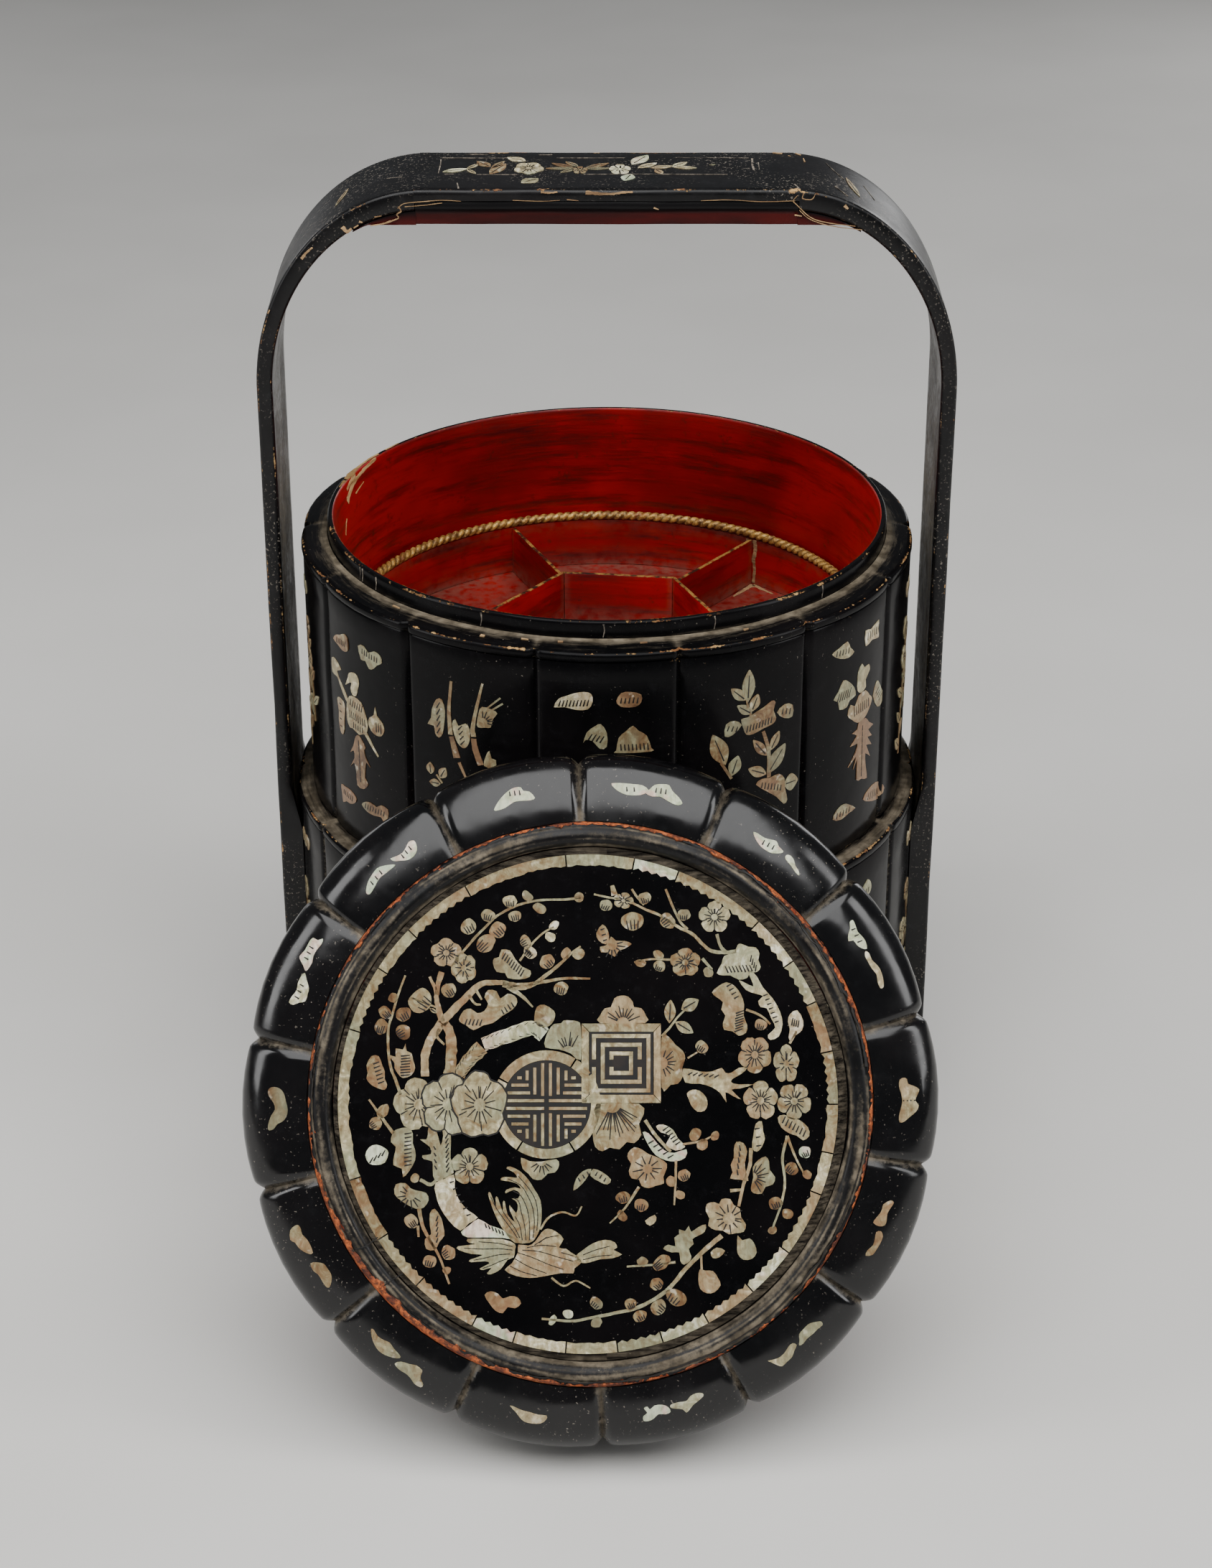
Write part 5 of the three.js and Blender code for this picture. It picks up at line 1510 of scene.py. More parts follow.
# Moths on the lid's lobes
lobe_inlay = Inlay("lid_lobe_inlay", on_lobe, "lid", 2.5, 2.5)
lobe_inlay.traced((
    ("""-39.5,121 -38,124 -36.5,126 -34.5,128 -32.5,129.5 -30.5,130.2 -28.5,130.2 -27.5,128.8 -25,128.5
     -22.7,126 -24.5,125 -27.5,124.8 -30.5,124.5 -32.5,123.5 -35,121.8 -38,120.8""", 1.0,
     (-33, 127.5, -29, 128, 3, 2.4, 100)),
    ("8.7,132 13.5,132 18,131.5 21.5,131 24,129 22,127.5 19,127 15,127.2 12,128.5 10,130", 1.1,
     (15, 129.5, 18, 129.4, 2, 2, 95)),
    ("""22.8,127.8 24.5,129.5 26.5,131.2 30,131.5 32.5,131 33.5,129 35,127.5 36.5,126 37.8,123.8 36,123
     33.5,123.8 31,125.2 28.5,126.5 25.5,126.5""", 1.0, (27, 129, 31, 128.4, 3, 2.4, 80)),
    ("""67,112 69,111.2 71.5,109.5 74.5,108.7 76.5,108 77.3,106 79.2,104 78,103.2 74.5,103.3 72,104.5 70,106
     68.5,108 67.5,110""", 1.0, (71, 107.6, 75, 105.6, 3, 2.2, 60)),
    ("80,101.2 80.5,102.5 82.2,102.2 83.5,100.5 84.2,98 85.5,96 85.7,94.2 84.2,95.5 82.5,98 81,99.8", 0.95),
    ("""106.7,75 108,75.8 109,73.5 109.8,71 111.5,69.2 113,67 113.5,64 111.5,64.2 109.5,65.5 108,67.5
     106,67.2 106,70 106.8,72.5""", 1.0, (108, 72, 110.6, 67, 3, 2.2, 20)),
    ("""113,63 114.5,62 115.5,59.5 117.5,57.5 119,55.5 120.2,52 120.5,48.5 119.2,47.8 118,50.5 117.5,53.5
     115.5,56 113.8,59 112.8,61""", 0.8),
    ("""127,10 128.5,11 130,10.5 130.5,8.5 133,7.5 135.2,6 134.5,4 133.5,1.5 135,-0.5 134,-3 131.5,-5 129,-7
     127.2,-7.3 126.8,-5 127.5,-2 128.2,1.5 127.5,5 126.8,7.5""", 0.55,
     (128.6, 1.6, 133.2, 1.6, 4, 0.6, 0)),
    ("""120.5,-41 123.5,-39.5 124.8,-40.5 123.5,-42.5 122,-45 121.8,-47.5 121,-49.7 118.5,-50 116.2,-48.5
     117.5,-46.5 119.2,-44.5 120,-42.5""", 0.42),
    ("""117.5,-52.5 119.5,-52.2 120.2,-54.5 119,-57.5 117.5,-60 116,-62 113.2,-62.2 114,-60 116.2,-58
     117,-55""", 0.3),
    ("""91.5,-89.8 95,-89.5 95.5,-91 93.5,-92.5 91.5,-94.5 89,-96.5 87.5,-98.5 85.8,-99.2 86,-97 85.8,-94.5
     87.5,-92.5 89.5,-90.5""", 0.5),
    ("""73,-105.5 75.5,-105 78,-104 80,-102 81.5,-99.5 83.2,-98.2 84.8,-99 83.8,-101.5 83,-104 81,-106
     79,-108 77,-107.5 74.5,-106.2""", 0.6),
    ("""22,-125 23.5,-124.3 24.5,-125.5 26.5,-123.8 29.5,-123.5 32,-124.5 33,-126.5 31,-127.5 28,-127.5
     26,-129.5 24,-130.5 22,-130.5 21.8,-128.5 23.5,-127""", 1.1),
    ("""33,-123.5 36,-122.5 39.5,-122 41,-120 43.5,-118.8 46,-118.8 46.5,-120 44.5,-122 42.5,-123.5
     41,-125.5 39.5,-127 38,-125.5 35.5,-125.2 33.2,-124.8""", 0.8),
    ("""-33,-124 -30.5,-124.8 -28,-126 -24.5,-126.8 -21.5,-127.8 -18,-128.2 -18.2,-129.8 -20.5,-131.5
     -24,-131.5 -27,-130.8 -29,-129 -30.5,-126.8""", 0.72),
    ("""-90.2,-92.5 -89,-93 -87.5,-95.5 -85,-97 -82.5,-98 -80.8,-100.5 -79,-102.5 -78,-104 -79.5,-104.5
     -83,-103.8 -86,-102.5 -88,-100.5 -89.5,-97.5 -90.2,-94.5""", 0.36),
    ("""-80.5,-107 -78,-106 -74.5,-107 -71.5,-107.5 -69.2,-109.5 -69.5,-111 -70,-113 -69,-116 -70,-117
     -72.5,-115.5 -74,-113 -76,-111 -78.5,-109.5""", 0.5),
    ("""-123.5,-52 -121.5,-50 -120,-49.8 -119,-51.5 -118.5,-53.5 -116.5,-55.5 -115,-58 -114,-61 -115.5,-61.5
     -118,-60.5 -120,-59 -121.5,-57 -123.5,-56""", 0.42),
    ("""-115,-65.5 -112.5,-65 -109.5,-65.5 -108,-67.5 -106.5,-70 -106.5,-73 -107.5,-75.5 -109,-75
     -110.5,-72.5 -112,-70 -114,-68.5""", 0.32),
    ("""-132,6.5 -130,7.2 -127.5,6.5 -125.8,4.5 -125,1.5 -124.2,-2 -124.8,-5 -126.5,-7 -128.5,-8 -130,-10
     -132,-10.8 -132.5,-9.5 -132,-7 -131,-4.5 -129.5,-2 -130,0.5 -131.5,2.5 -132.5,4.5""", 0.1),
    ("""-115.5,67 -114,68.5 -112,67.5 -110,68.2 -110.5,66 -112.5,63.5 -113.8,61 -114.2,58.5 -116,55.5
     -117,55 -117.8,57 -119.5,60 -119,61.5 -117.2,63.5""", 1.0, (-114.6, 64.5, -116.6, 60, 3, 2.2, 150)),
    ("""-118.5,53 -117.2,54 -116.5,51.5 -115.5,48 -116,45.5 -117,42.5 -119.5,42 -122,41 -123.8,42
     -122.5,44.5 -120.5,47 -120,50""", 0.9, (-118.4, 49, -120.4, 44, 3, 2.2, 150)),
    ("""-82,101 -79.5,102 -77,103.5 -75.5,106 -74.5,108 -72.5,108.5 -71.5,107 -71.2,104.5 -72.5,102
     -75,100.5 -78,100.2 -80.5,100""", 1.0, (-77, 102, -74, 105.4, 3, 2.2, 130)),
    ("""-92,87 -91.8,89.5 -91,92 -89.5,94.5 -87.5,97 -85,98 -82,98.5 -80,98.5 -81.5,97 -84,95 -86,93.5
     -87.5,91.5 -88.5,89.5 -90.5,86.5""", 1.0, (-89.6, 91, -86, 95.4, 3, 2.2, 130)),
))
lobe_inlay.finish()

# Upper wall: places are (arc from the front, height)
wall = Inlay("upper_wall_inlay", on_wall(UPPER_R, upper_lobing), "upper_tier", 3)
wall.traced((
    ("-147,277 -144,280 -140,281.5 -136,283.5 -133,282.5 -132.5,277.5 -134.5,275.5 -138,275 -142,276", 0.3,
     (-143, 278, -135, 279, 6, 3, 80)),
    ("""-124,282.5 -120,283.5 -117,281.5 -113,283.5 -109,282.5 -108,279.5 -111,277.5 -113.5,275 -116.5,274
     -119,277 -122,276.5""", 0.45, (-121, 281, -111, 280, 7, 3, 85)),
    ("""-150,266.5 -146,267.5 -143,266.5 -140,264.5 -144,262.5 -143,260.5 -136,254.5 -134,251.5 -136,251
     -142,257 -144.5,259.5 -150,259.5""", 0.7),
    ("""-136,259 -133.5,263.5 -132.5,266 -129,267.5 -126,267 -124.5,264 -125.5,261 -127,257 -130,256.4
     -131.5,259 -130.5,262 -133,261""", 0.9),
    ("""-133.5,239 -136,242.5 -135.5,250 -133,254.5 -129,255.8 -123.5,255 -121,251 -119,246 -120,241.5
     -123.5,239.5 -126,238.4 -131,239.5""", 0.6, (-132, 252, -123, 252, 6, 4, 75),
     (-133, 246, -121, 246, 8, 4, 95), (-130, 241.5, -123, 241.5, 5, 3, 90)),
    ("""-113.5,256.5 -112.5,252.5 -109,250 -108,246.5 -110,243.5 -113,242.8 -116.5,243.8 -118.5,247
     -117.5,250 -114.5,252.3""", 0.5, (-113, 247, -110, 247, 3, 5, 90)),
    ("""-145.5,248 -143,250 -139,249.5 -137.5,246.5 -138.5,241 -139,236 -140.5,232.5 -143,233 -144.5,238.5
     -144,243""", 0.55, (-142, 247, -142, 236, 4, 2.4, 0)),
    ("""-127.5,237.6 -129.5,235 -131,231 -134,226.5 -131,228.5 -130.5,225 -134.5,219 -131,222.5 -129.3,218
     -129,212 -124,212 -120.5,215.5 -122.5,218 -122,223 -121,226.5 -118.5,225 -121.5,228.5 -122.5,232
     -121.5,233.5 -124.5,237""", 0.12, (-126.5, 234, -126, 216, 7, 3, 90)),
    ("""-145,205.5 -141,206 -137,206.5 -133,206 -130.5,204 -132,201.5 -136,199.5 -140,199 -143.5,197
     -144.5,201""", 0.05, (-142, 203, -134, 203, 6, 3, 75)),
    ("""-126,203.5 -123,206 -119,207 -115,206.5 -112,208.5 -107.5,208 -107.5,204 -110,200.5 -112,202.5
     -117,201.5 -122,201.5""", 0.2, (-123, 204, -110, 205, 8, 3, 75)),
    ("""-82,258.5 -80,262 -79.5,266 -77,271.5 -74,272 -72.5,267 -73,261.5 -74,256 -76,253.5 -78,255
     -78.5,258.5""", 0.45, (-76, 269, -76, 257, 5, 4, 60)),
    ("""-69,262 -67.5,264.5 -66,261.5 -62.5,263.5 -60.5,261 -60.5,256 -62,252.5 -64,251.5 -66.5,253.5
     -68,257""", 0.6, (-65, 261, -64, 254, 4, 3.4, 50)),
    ("-57,264 -56,270 -54.5,273 -50,272.5 -47.5,271 -49.5,268 -50.5,264 -53,263.5 -55.5,263", 0.5,
     ("fan", -54, 266, 2, 6, -10, 90, 6)),
    ("-54,245 -53,250 -51.5,252.5 -50.5,249 -48.5,248.5 -49,244.5", 0.5),
    ("-22.5,277 -20.5,281 -17.5,282.5 -14,284 -9.5,285 -6.5,284 -6,280.5 -8,277 -13,276.5 -18,277.5", 0.95,
     (-20, 279, -8, 280, 9, 3.6, 75)),
    ("4,281 6,284.5 10,285 14.5,283.5 14.5,280 12,278 7,278 5,279", 0.3, (6, 281, 13, 281, 5, 3, 80)),
    ("-10,261 -8.5,266 -5,269 -2.5,270 0,266 0,259.5 -3,258.5 -6,262 -9,262.5", 0.5,
     (-7, 264, -2, 263, 4, 4, 60)),
    ("4,257.5 5,263.5 8,266.5 11,269 13.5,266.5 17,264 19,258 19,256.4 4,256.4", 0.45,
     (6, 259, 17.5, 259, 8, 3.4, 95)),
    ("""59,266 62,266.5 66,268 70,269.5 74,271.5 76,270.5 75,267 76.5,263 75,260.5 70,259.5 65,258
     61.5,258.5 60,262""", 0.3, (62, 261, 74, 262.5, 9, 3.4, 80)),
    ("51.5,259.5 52,265 56,266 59.3,263.5 55,259.5", 0.45, (53, 263, 57, 262, 3, 3, 70)),
    ("77,265.2 81,268 85.5,266.5 85.5,261 81,261.5", 0.4, (80, 265, 84, 264, 3, 3, 80)),
    ("67,233 70,235 74,234.5 79,235 82,232 82.5,227 84,221 82,219.5 78,224 73,228", 0.3,
     (70, 232, 80, 228, 7, 3.4, 80)),
    ("108,283.5 112,285 118,286.5 120,283 123,280 119,278.5 113,280", 0.7, (111, 283, 119, 282, 5, 3, 80)),
    ("132,286.5 137,285.5 144.5,287 144,283 145,278.5 138,280 132.5,279", 0.95,
     (134, 283, 142, 283, 5, 4, 90)),
    ("110,261 113,264 116,268.5 120,266.5 124,262.5 125.5,258 121,257 119,254.5 114,255 113,259", 0.5,
     (113, 261, 121, 261, 6, 5, 70)),
    ("127,268.5 130,271.5 132,269 136,269 137,266 133.5,262.5 134,258.8 130,257.4 127,259.5 126.5,264",
     0.75),
    ("""120,250 122,254.5 125.5,252.5 128,256.5 134,257 138,253 140.6,250.5 138,246.5 134,243.6 128,243.4
     123,247""", 0.55, (125, 250, 137, 250, 8, 5, 95)),
    ("141.4,251 145,257 148,255 151,251 154.5,246.5 152,243 147,243.5", 0.6,
     (146, 252, 150, 247, 4, 4, 30)),
    ("""129,243 128,240 124,239.5 128,237 123,233.5 128.5,233 127.5,229 122,223.5 128,227 126,221 129,225
     129,214.5 133,213.5 138.5,211.5 137,218 136,225 141,221.5 136.5,229 142,227 137.5,232.5 142,231.5
     138,236 143,236.5 138.5,239.5 135,243""", 0.1, (132.5, 239, 133, 216, 9, 3, 92)),
    ("112.5,201 115,205 120,206 123.5,204.5 129,200.5 124,200 118,199", 0.35,
     (115, 202, 124, 202, 5, 3, 80)),
    ("136,201.5 141,204.5 149,204.5 156,201 161,196 157,193.5 150,195 142,198", 0.25,
     (141, 201, 155, 198, 7, 4, 70)),
), 0.1)
leaves(wall, """62,274,62.5,289,6 61,275,54,281.5,4.6 64,268,57,273,4.2 64,269,67,276.5,5 72,246,65,255,4.4
    74,248,78.5,256,4.4 73,237,82,249,7 72,237,63,241.5,5 82,229,90,229,8 52,246,46,261,8 55,240,58,249,6
    -81,234.5,-81.5,240,4.4 -76,234,-73,239.5,4.4 -76,231,-82,230.5,3.6""")
for text, start, end, tint in (
        ("-69,282 -70.5,268 -70,256.5", 1.2, 2.2, 0.3), ("-69.6,255.6 -67,246", 2.2, 3.4, 0.02),
        ("-66,244 -63,237.6", 1.4, 1, 0.3), ("-54,284 -57,272 -59,262 -58.6,258", 1, 2.4, 0.4),
        ("-58.6,257 -58,252 -55.5,245", 2.4, 3, 0.05), ("-54,271 -46,278.5", 0.6, 0.8, 0.4),
        ("-53,270 -45,276", 0.6, 0.8, 0.4), ("70,258 73,248 73.5,235", 1.6, 2, 0.2),
        ("50,247 55,238.6", 1.4, 1.2, 0.2), ("-78,235 -75,231.6", 0.8, 0.8, 0.3),
        ("-121,241 -112.5,232.5", 2.2, 0.8, 0.6), ("60,283 62,272 64,266", 0.7, 1, 0.3)):
    wall.plate(stem(trace(text), start, end, 0.08), tint)


def spray(inlay, x, foot, height):
    """A slender leafy spray, as on the side panels, with one flower at its top."""
    lean = chance.uniform(-1, 1)
    line = [(x + lean * share * share * 10, foot + height * share) for share in (0, 0.3, 0.6, 1)]
    inlay.plate(stem(line, 1.6, 0.8, 0.1), 0.3)
    curve = smooth_line(line, 4)
    for index, spot in enumerate(curve[1:-1:2]):
        tilt = math.radians(90 - (1 if index % 2 else -1) * chance.uniform(35, 60))
        reach = chance.uniform(8, 12)
        tip = spot + polar(reach, tilt, 0).to_2d()
        reach_leaf(inlay, spot, tip, chance.uniform(3.6, 5.4))
    flower(inlay, curve[-1].x, curve[-1].y + 5, 5.4, 5.6, chance.uniform(0, 70))


for lobe in range(-7, 7):
    if abs(lobe) in (0, 1, 2):
        continue
    centre = lobe * LOBE_ANGLE * UPPER_R
    spray(wall, centre - 5, 204, 42)
    spray(wall, centre + 8, 222, 38)
    cloud(wall, centre + chance.uniform(-6, 6), 284, 14, 7)
wall.finish()

lower_inlay = Inlay("lower_wall_inlay", on_wall(LOWER_R, lower_lobing), "base", 3)
for lobe in range(-7, 7):
    centre = lobe * LOBE_ANGLE * LOWER_R
    if abs(abs(centre) - math.pi / 2 * LOWER_R) < 32:
        continue
    spray(lower_inlay, centre - 6, 46, 62)
    spray(lower_inlay, centre + 8, 70, 56)
    cloud(lower_inlay, centre + chance.uniform(-5, 5), 160, 16, 8)
    cloud(lower_inlay, centre + chance.uniform(-5, 5), 32, 17, 8)
lower_inlay.finish()


def on_bow(x, y, rise):
    """A point of the bow's outer face, over the grip or down either shoulder."""
    past = max(abs(x) - BOW_X, 0) / OUTER_RUN
    up = math.sqrt(max(1 - past * past, 0))
    lean = math.atan2(past * OUTER_RISE, up * OUTER_RUN)
    height = BOW_Z + OUTER_RISE * up + rise * math.cos(lean)
    return Vector((x + math.copysign(rise * math.sin(lean), x), y, height))


# Spray on top of the grip, inside a thin scratched frame, and a leaf on each shoulder
grip_inlay = Inlay("handle_top_inlay", on_bow, "base", 4)
for start, end, width, tint in (
        ((-70.7, -2), (-60.5, 2.6), 4.4, 0.9), ((-60.5, 2.6), (-55.5, 10), 2.6, 0.7),
        ((-60.5, 1.5), (-56.4, -4.8), 2.2, 0.6), ((-50.6, 5.5), (-56.5, 13.5), 5.2, 0.2),
        ((-50.3, -5.5), (-44, 10), 5.6, 0.3), ((-50, 3), (-44.5, 14), 3.2, 0.35),
        ((-35.5, 14), (-43.5, 19.5), 6.0, 0.8), ((-29.5, -12), (-36.5, -18.5), 7.0, 0.5),
        ((-15, 3), (-26.5, 3.2), 3.0, 0.25), ((-14.5, 4), (-24, 11), 3.4, 0.2),
        ((-12.5, 6), (-18, 13), 3.2, 0.25), ((-9, 4), (1, 11), 3.6, 0.2),
        ((-8.6, 2.5), (1.5, 3.5), 3.0, 0.25), ((-14, 2), (-20, -3), 2.6, 0.2),
        ((11, 9), (18, 23), 6.6, 0.92), ((10.5, -6), (7.5, -15), 6.0, 0.95),
        ((13.6, 3.8), (21.8, 11.2), 4.4, 0.8), ((19.3, 3.8), (28.4, 6.6), 4.2, 0.7),
        ((21, 1.5), (24, -5), 3.4, 0.7), ((28.4, 5.5), (35, 12.4), 4.0, 0.8),
        ((29.2, 5.0), (39, 3.8), 3.6, 0.75), ((44.5, 8.4), (47.2, 8.6), 1.6, 0.4),
        ((-117, -8.4), (-112.4, 7), 2.6, 0.45), ((108.6, -11.5), (104, 8.4), 3.2, 0.45)):
    reach_leaf(grip_inlay, start, end, width, tint)
flower(grip_inlay, -33.8, 3.2, 6.6, 8.6, 60, 0.8)
flower(grip_inlay, 5.7, 1.5, 4.8, 7.6, 90, 0.9)
flower(grip_inlay, -11.6, 0.5, 3.4, 5.4, 90, 0.3)
grip_inlay.finish()


def marks_on(name, place, lines, material, body):
    """Cracks, chips and scratches, each a thin sliver in or just over the surface: (points, start, end)."""
    shape = Shape()
    for points, start, end in lines:
        outline = stem(points, start, end, 0.35)
        count = len(outline)
        spots = [place(x, y, rise) for rise in (0.2, -0.3) for x, y in outline]
        half = count // 2
        faces = []
        for index in range(half - 1):
            other = count - 1 - index
            faces.append([index, index + 1, other - 1, other])
            faces.append([count + other, count + other - 1, count + index + 1, count + index])
        for index in range(count):
            after = (index + 1) % count
            faces.append([index, after, count + after, count + index])
        shape.add(spots, faces)
    build(name, shape, material, body, crease=30)


def round_crack(first, last, radius, width):
    """A crack that wanders along the crest between two angles."""
    steps = 18
    spots = []
    for step in range(steps + 1):
        reach = radius + noise.noise(Vector((step * 0.8, radius, first))) * 1.3
        spots.append(polar(reach, math.radians(first + (last - first) * step / steps), 0).to_2d())
    return spots, width, width * 0.6


crest_cracks = [round_crack(*crack) for crack in (
    (-20, -62, 113.4, 0.55), (-58, -104, 113.6, 0.8), (-104, -150, 114.2, 1.1), (-112, -146, 113.2, 0.8),
    (8, 58, 114.4, 0.9), (24, 50, 113.2, 0.4), (166, 200, 114.6, 0.4))]
crest_cracks += [([(-96, -59), (-92, -57.6), (-87, -54)], 0.6, 0.4),
                 ([(-86, -75), (-82, -72), (-77, -69)], 0.5, 0.3)]
marks_on("crest_cracks", on_crest, crest_cracks, ENGRAVED, "lid")


def on_bow_front(x, z, rise):
    return Vector((x, -HALF_WIDTH - rise, z))


marks_on("handle_frame_scratches", on_bow, [
    ([(-72, 19), (-50, 18.6), (-42, 19)], 0.25, 0.2), ([(-22, 19), (0, 18.8), (8, 19)], 0.25, 0.2),
    ([(30, 19.3), (62, 18.8)], 0.25, 0.2), ([(-70, -5.6), (-66, -5.2)], 0.3, 0.2),
    ([(-56, -6), (-40, -6.2), (-38, -6)], 0.25, 0.2), ([(-10, -5.8), (20, -5.4), (52, -5.8)], 0.25, 0.2),
    ([(-72.5, 17), (-72.3, 10), (-72.6, -4)], 0.4, 0.4), ([(63.5, 18), (63.3, 8), (63.6, 1)], 0.8, 0.8),
    ([(66, 12), (66, 2)], 0.4, 0.3), ([(-62, 24.5), (-52, 24.2)], 0.3, 0.2),
    ([(-30, 23.5), (-24, 23.8)], 0.3, 0.2), ([(80, -20), (82, -26.6)], 0.5, 0.8),
    ([(-64, -18), (-63, -26)], 0.4, 0.7), ([(-95, -4), (-88, -7)], 0.3, 0.2),
    ([(96, 20), (99, 12), (103, 4)], 0.3, 0.3), ([(98, -12), (103, -20)], 0.7, 0.3),
    ([(112, 10), (116, -2)], 0.3, 0.3),
], SCRATCHED, "base")
marks_on("handle_top_chips", on_bow, [
    ([(73, 27.2), (77, 25.6)], 0.8, 1.4), ([(83, 27), (85, 24.6)], 0.8, 0.6),
    ([(86, 20), (86.4, 15)], 0.4, 0.7), ([(79.5, 22.5), (80.6, 21.4)], 0.5, 0.7),
], STAINED, "base")
marks_on("handle_cracks", on_bow_front, [
    ([(-62, 463.4), (-70, 463.8), (-78, 463.2), (-86, 462.4), (-89, 460.2)], 0.15, 0.3),
    ([(-70, 462.6), (-78, 461.6), (-86, 461)], 0.15, 0.25),
    ([(-88.6, 461), (-87.6, 459), (-89.4, 457.6), (-88.8, 456), (-92, 454.6)], 0.5, 0.4),
    ([(-92, 454.6), (-96, 453.4), (-101, 452.6)], 0.7, 0.25),
    ([(40, 463.6), (52, 464), (66, 463.2), (80, 463.6)], 0.15, 0.3),
    ([(79, 463.4), (82, 460.6), (85, 457.6), (89, 455.2), (96, 453.6), (106, 452.4)], 0.28, 0.18),
    ([(82, 459.4), (86, 455.8), (92, 453.4), (100, 451.8), (109, 450.8)], 0.22, 0.2),
    ([(83.6, 466.9), (83.2, 464.6), (87, 464.2), (88.6, 466.6)], 0.5, 0.3),
    ([(79, 463.6), (81, 466)], 0.3, 0.2), ([(-40, 463.8), (-28, 463.4), (-20, 463.8)], 0.2, 0.15),
    ([(-17, 464.2), (-12, 463.6)], 0.4, 0.2), ([(20, 460.6), (22, 459.8)], 0.8, 0.3),
    ([(101, 461.4), (102.6, 460)], 1.6, 0.9), ([(80, 457.4), (83, 456.8)], 0.5, 0.3),
], STAINED, "base")
marks_on("handle_edge_chips", on_bow_front, [
    ([(-9, 467.2), (-4, 466.8), (2, 466.6), (6, 467.1), (11, 467.4)], 1.3, 0.6),
    ([(-28, 467.3), (-24, 467.1), (-21, 467.4)], 0.8, 0.4),
    ([(-113, 452), (-111, 450), (-109, 451.4)], 1.8, 0.9), ([(-108, 451.6), (-106, 452.8)], 0.8, 0.5),
    ([(-105.6, 454.6), (-104.2, 454)], 0.8, 0.5), ([(-99, 456.4), (-96, 457)], 0.4, 0.2),
    ([(-131, 438), (-128, 441.4), (-126, 443)], 1.2, 0.6), ([(-146.6, 413.4), (-145.8, 415)], 0.9, 0.5),
], STAINED, "base")


def on_neck_top(arc, out, rise):
    return polar(NECK_IN + out, FRONT + arc / NECK_IN, LINING_TOP + rise)


def on_neck(degrees, height, rise):
    return polar(NECK_OUT + rise, FRONT + math.radians(degrees), height)


def on_upper_ledge(x, y, rise):
    return Vector((x, y, UPPER_LEDGE_Z + 6.1 - (math.hypot(x, y) - LEDGE_IN) * 0.12 + rise))


# The big chip at the neck's left: its arc from the front, along the lining
LEFT = -math.radians(109.4) * NECK_IN
marks_on("neck_rim_chip", on_neck_top, [
    ([(LEFT - 24, 1.2), (LEFT - 12, 1.4), (LEFT, 1.3), (LEFT + 10, 1.0)], 0.8, 2.0),
    ([(LEFT + 12, 1.0), (LEFT + 20, 1.2)], 1.4, 0.4), ([(LEFT - 40, 1.6), (LEFT - 30, 1.4)], 0.4, 0.7),
], WOOD, "upper_tier")
marks_on("neck_scratches", on_neck, [
    ([(degrees, 311), (degrees + 0.15, 308.4), (degrees - 0.1, 305)], 0.3, 0.12)
    for degrees in (-58, -57, -52, -24.8, -0.6, 21, 47)
], SCRATCHED, "upper_tier")
marks_on("ledge_chips", on_upper_ledge, [
    ([(-53.4, -122.4), (-51.6, -123.2)], 1.6, 0.9), ([(-20.6, -129.4), (-18.4, -129.6)], 1.3, 0.8),
    ([(-36, -126.4), (-33, -127.2)], 0.6, 0.4), ([(14, -130.4), (17, -130)], 0.8, 0.5),
    ([(58, -117.6), (60, -116.4)], 0.8, 0.5), ([(-92, -92.8), (-89, -95.6)], 0.7, 0.4),
], STAINED, "upper_tier")
marks_on("neck_wood_chip", on_wall(NECK_IN, way=-1), [
    ([(LEFT - 20, 311.3), (LEFT - 10, 310), (LEFT, 308.2), (LEFT + 7, 306), (LEFT + 12, 301.5)], 1.2, 3.6),
    ([(LEFT + 1, 311), (LEFT + 6, 310), (LEFT + 12, 307.5)], 3.4, 1.2),
    ([(LEFT - 8, 304), (LEFT - 3, 302.5), (LEFT + 1, 301.5)], 0.3, 0.7),
    ([(LEFT + 14, 294), (LEFT + 15.6, 291), (LEFT + 16.6, 286.5)], 0.9, 0.4),
], WOOD, "upper_tier")


def on_tray_floor(x, y, rise):
    return Vector((x, y, TRAY_FLOOR_TOP + rise))


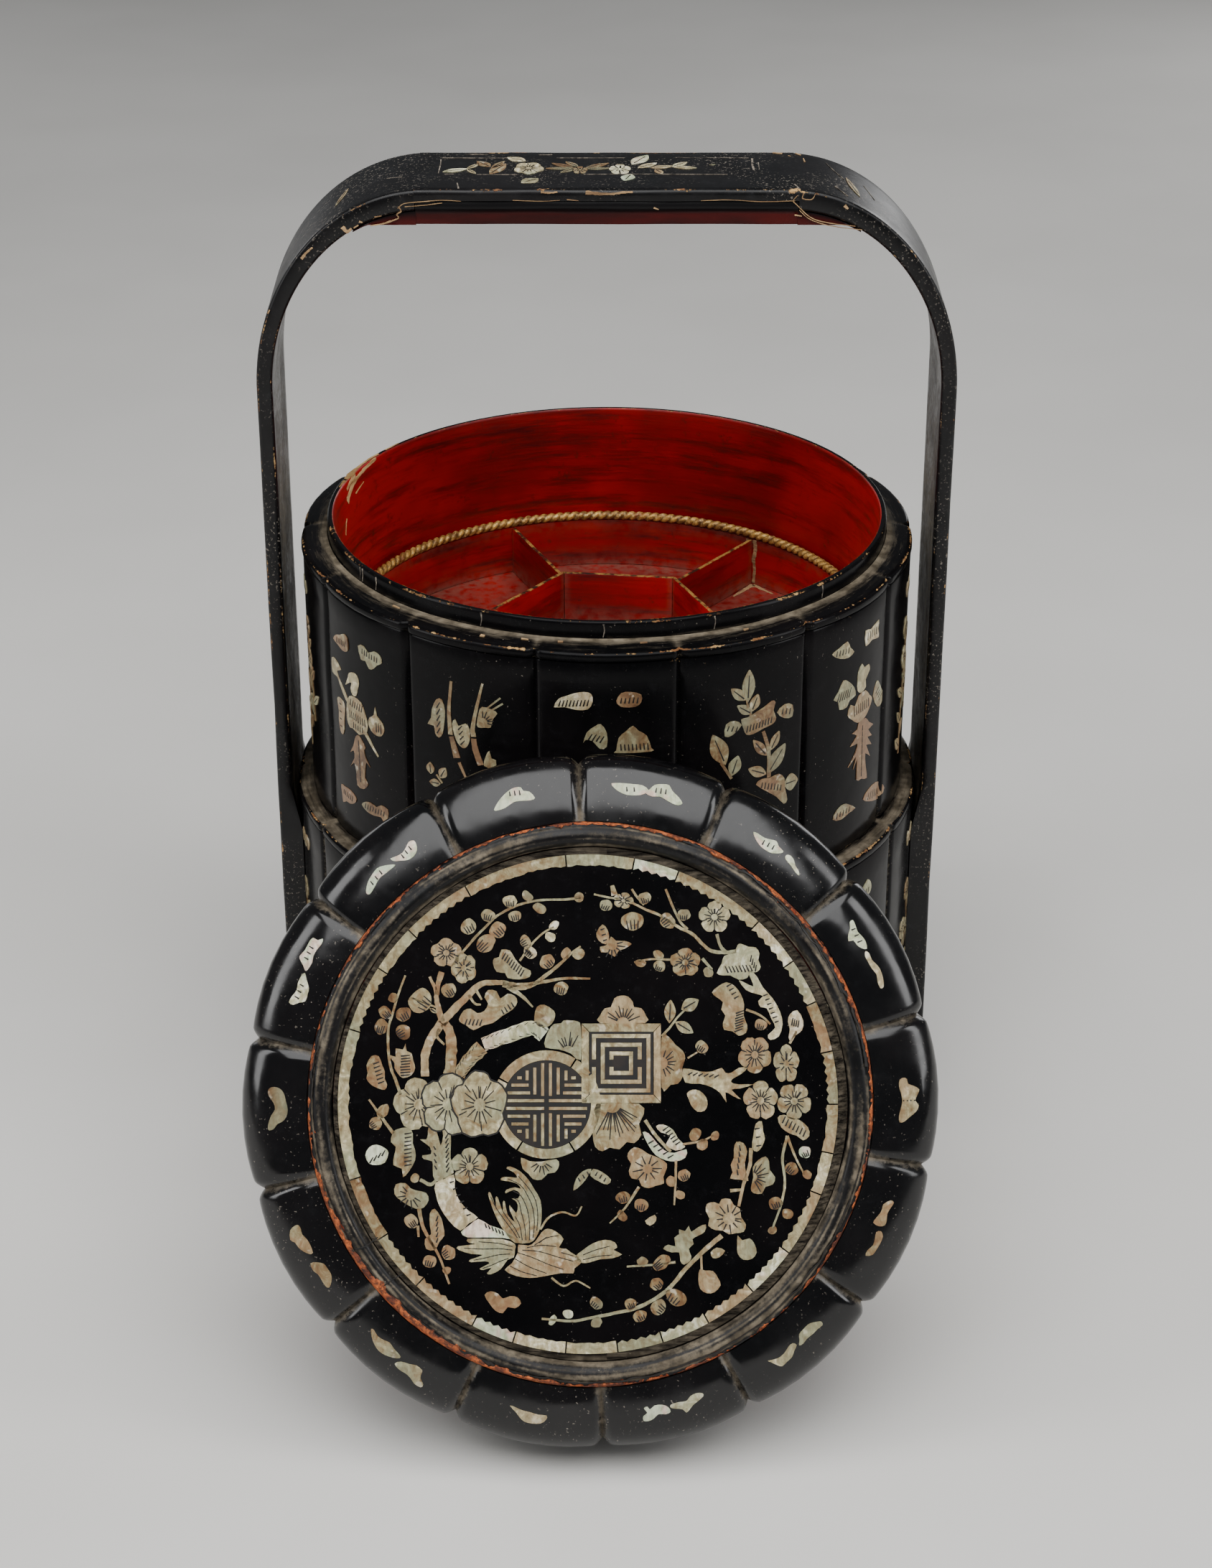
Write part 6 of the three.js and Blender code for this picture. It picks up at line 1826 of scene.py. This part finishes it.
# The worn corner of the tray, at the end of its second divider
CORNER = HEX_TURN + math.radians(60)
marks_on("tray_corner_wear", on_wall(TRAY_IN, way=-1, start=CORNER), [
    ([(-2.2, 255.4), (-2.8, 250), (-2.0, 245), (-2.6, 239), (-2.0, 232.6)], 2.0, 1.4),
    ([(2.2, 255.2), (2.0, 251)], 1.6, 0.6),
], STAINED, "tray")
corner = polar(TRAY_IN - 0.9, CORNER, 0).to_2d()
inward, sideways = -corner.normalized(), Vector((corner.y, -corner.x)).normalized()
marks_on("tray_floor_wear", on_tray_floor, [
    ([tuple(corner + sideways * 2.4), tuple(corner + sideways * 2.4 + inward * 9),
      tuple(corner + sideways * 2.8 + inward * 17)], 2.6, 1.0),
    ([tuple(corner + sideways * 2.4), tuple(corner + sideways * 9 + inward * 1.6),
      tuple(corner + sideways * 16 + inward * 3.2)], 2.4, 0.9),
], STAINED, "tray")


# Floor and lights

floor_mesh = bpy.data.meshes.new("studio_floor")
floor_mesh.from_pydata([(-16, -16, 0), (16, -16, 0), (16, 16, 0), (-16, 16, 0)], [], [(0, 1, 2, 3)])
floor_mesh.materials.append(PAPER)
floor = bpy.data.objects.new("studio_floor", floor_mesh)
bpy.context.scene.collection.objects.link(floor)
floor.location.z = -0.0002


def soft_box(name, place, aim, size, power):
    light = bpy.data.lights.new(name, "AREA")
    light.shape = "RECTANGLE"
    light.size, light.size_y = size
    light.energy = power
    lamp = bpy.data.objects.new(name, light)
    lamp.location = place
    lamp.rotation_euler = (Vector(aim) - Vector(place)).to_track_quat("-Z", "Y").to_euler()
    bpy.context.scene.collection.objects.link(lamp)


soft_box("overhead_box", (0, -0.8, 1.85), (0, -0.1, 0.2), (2.1, 1.9), 58)
soft_box("left_box", (-1.6, -0.6, 1.0), (0, -0.1, 0.25), (0.5, 1.4), 14)
soft_box("right_box", (1.6, -0.6, 1.0), (0, -0.1, 0.25), (0.5, 1.4), 14)
soft_box("back_right_box", (1.3, 2.0, 0.75), (0.1, 0, 0.4), (0.9, 0.9), 8)
soft_box("back_left_box", (-1.5, 2.0, 0.6), (-0.1, 0, 0.4), (0.7, 0.7), 2.5)
world = bpy.data.worlds.new("studio_room")
world.use_nodes = True
world.node_tree.nodes["Background"].inputs["Color"].default_value = linear("#c9ccd0")
world.node_tree.nodes["Background"].inputs["Strength"].default_value = 0.22
bpy.context.scene.world = world

for name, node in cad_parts.items():
    if name.startswith("upright_peg"):
        node.data.materials.clear()
        node.data.materials.append(WOOD)
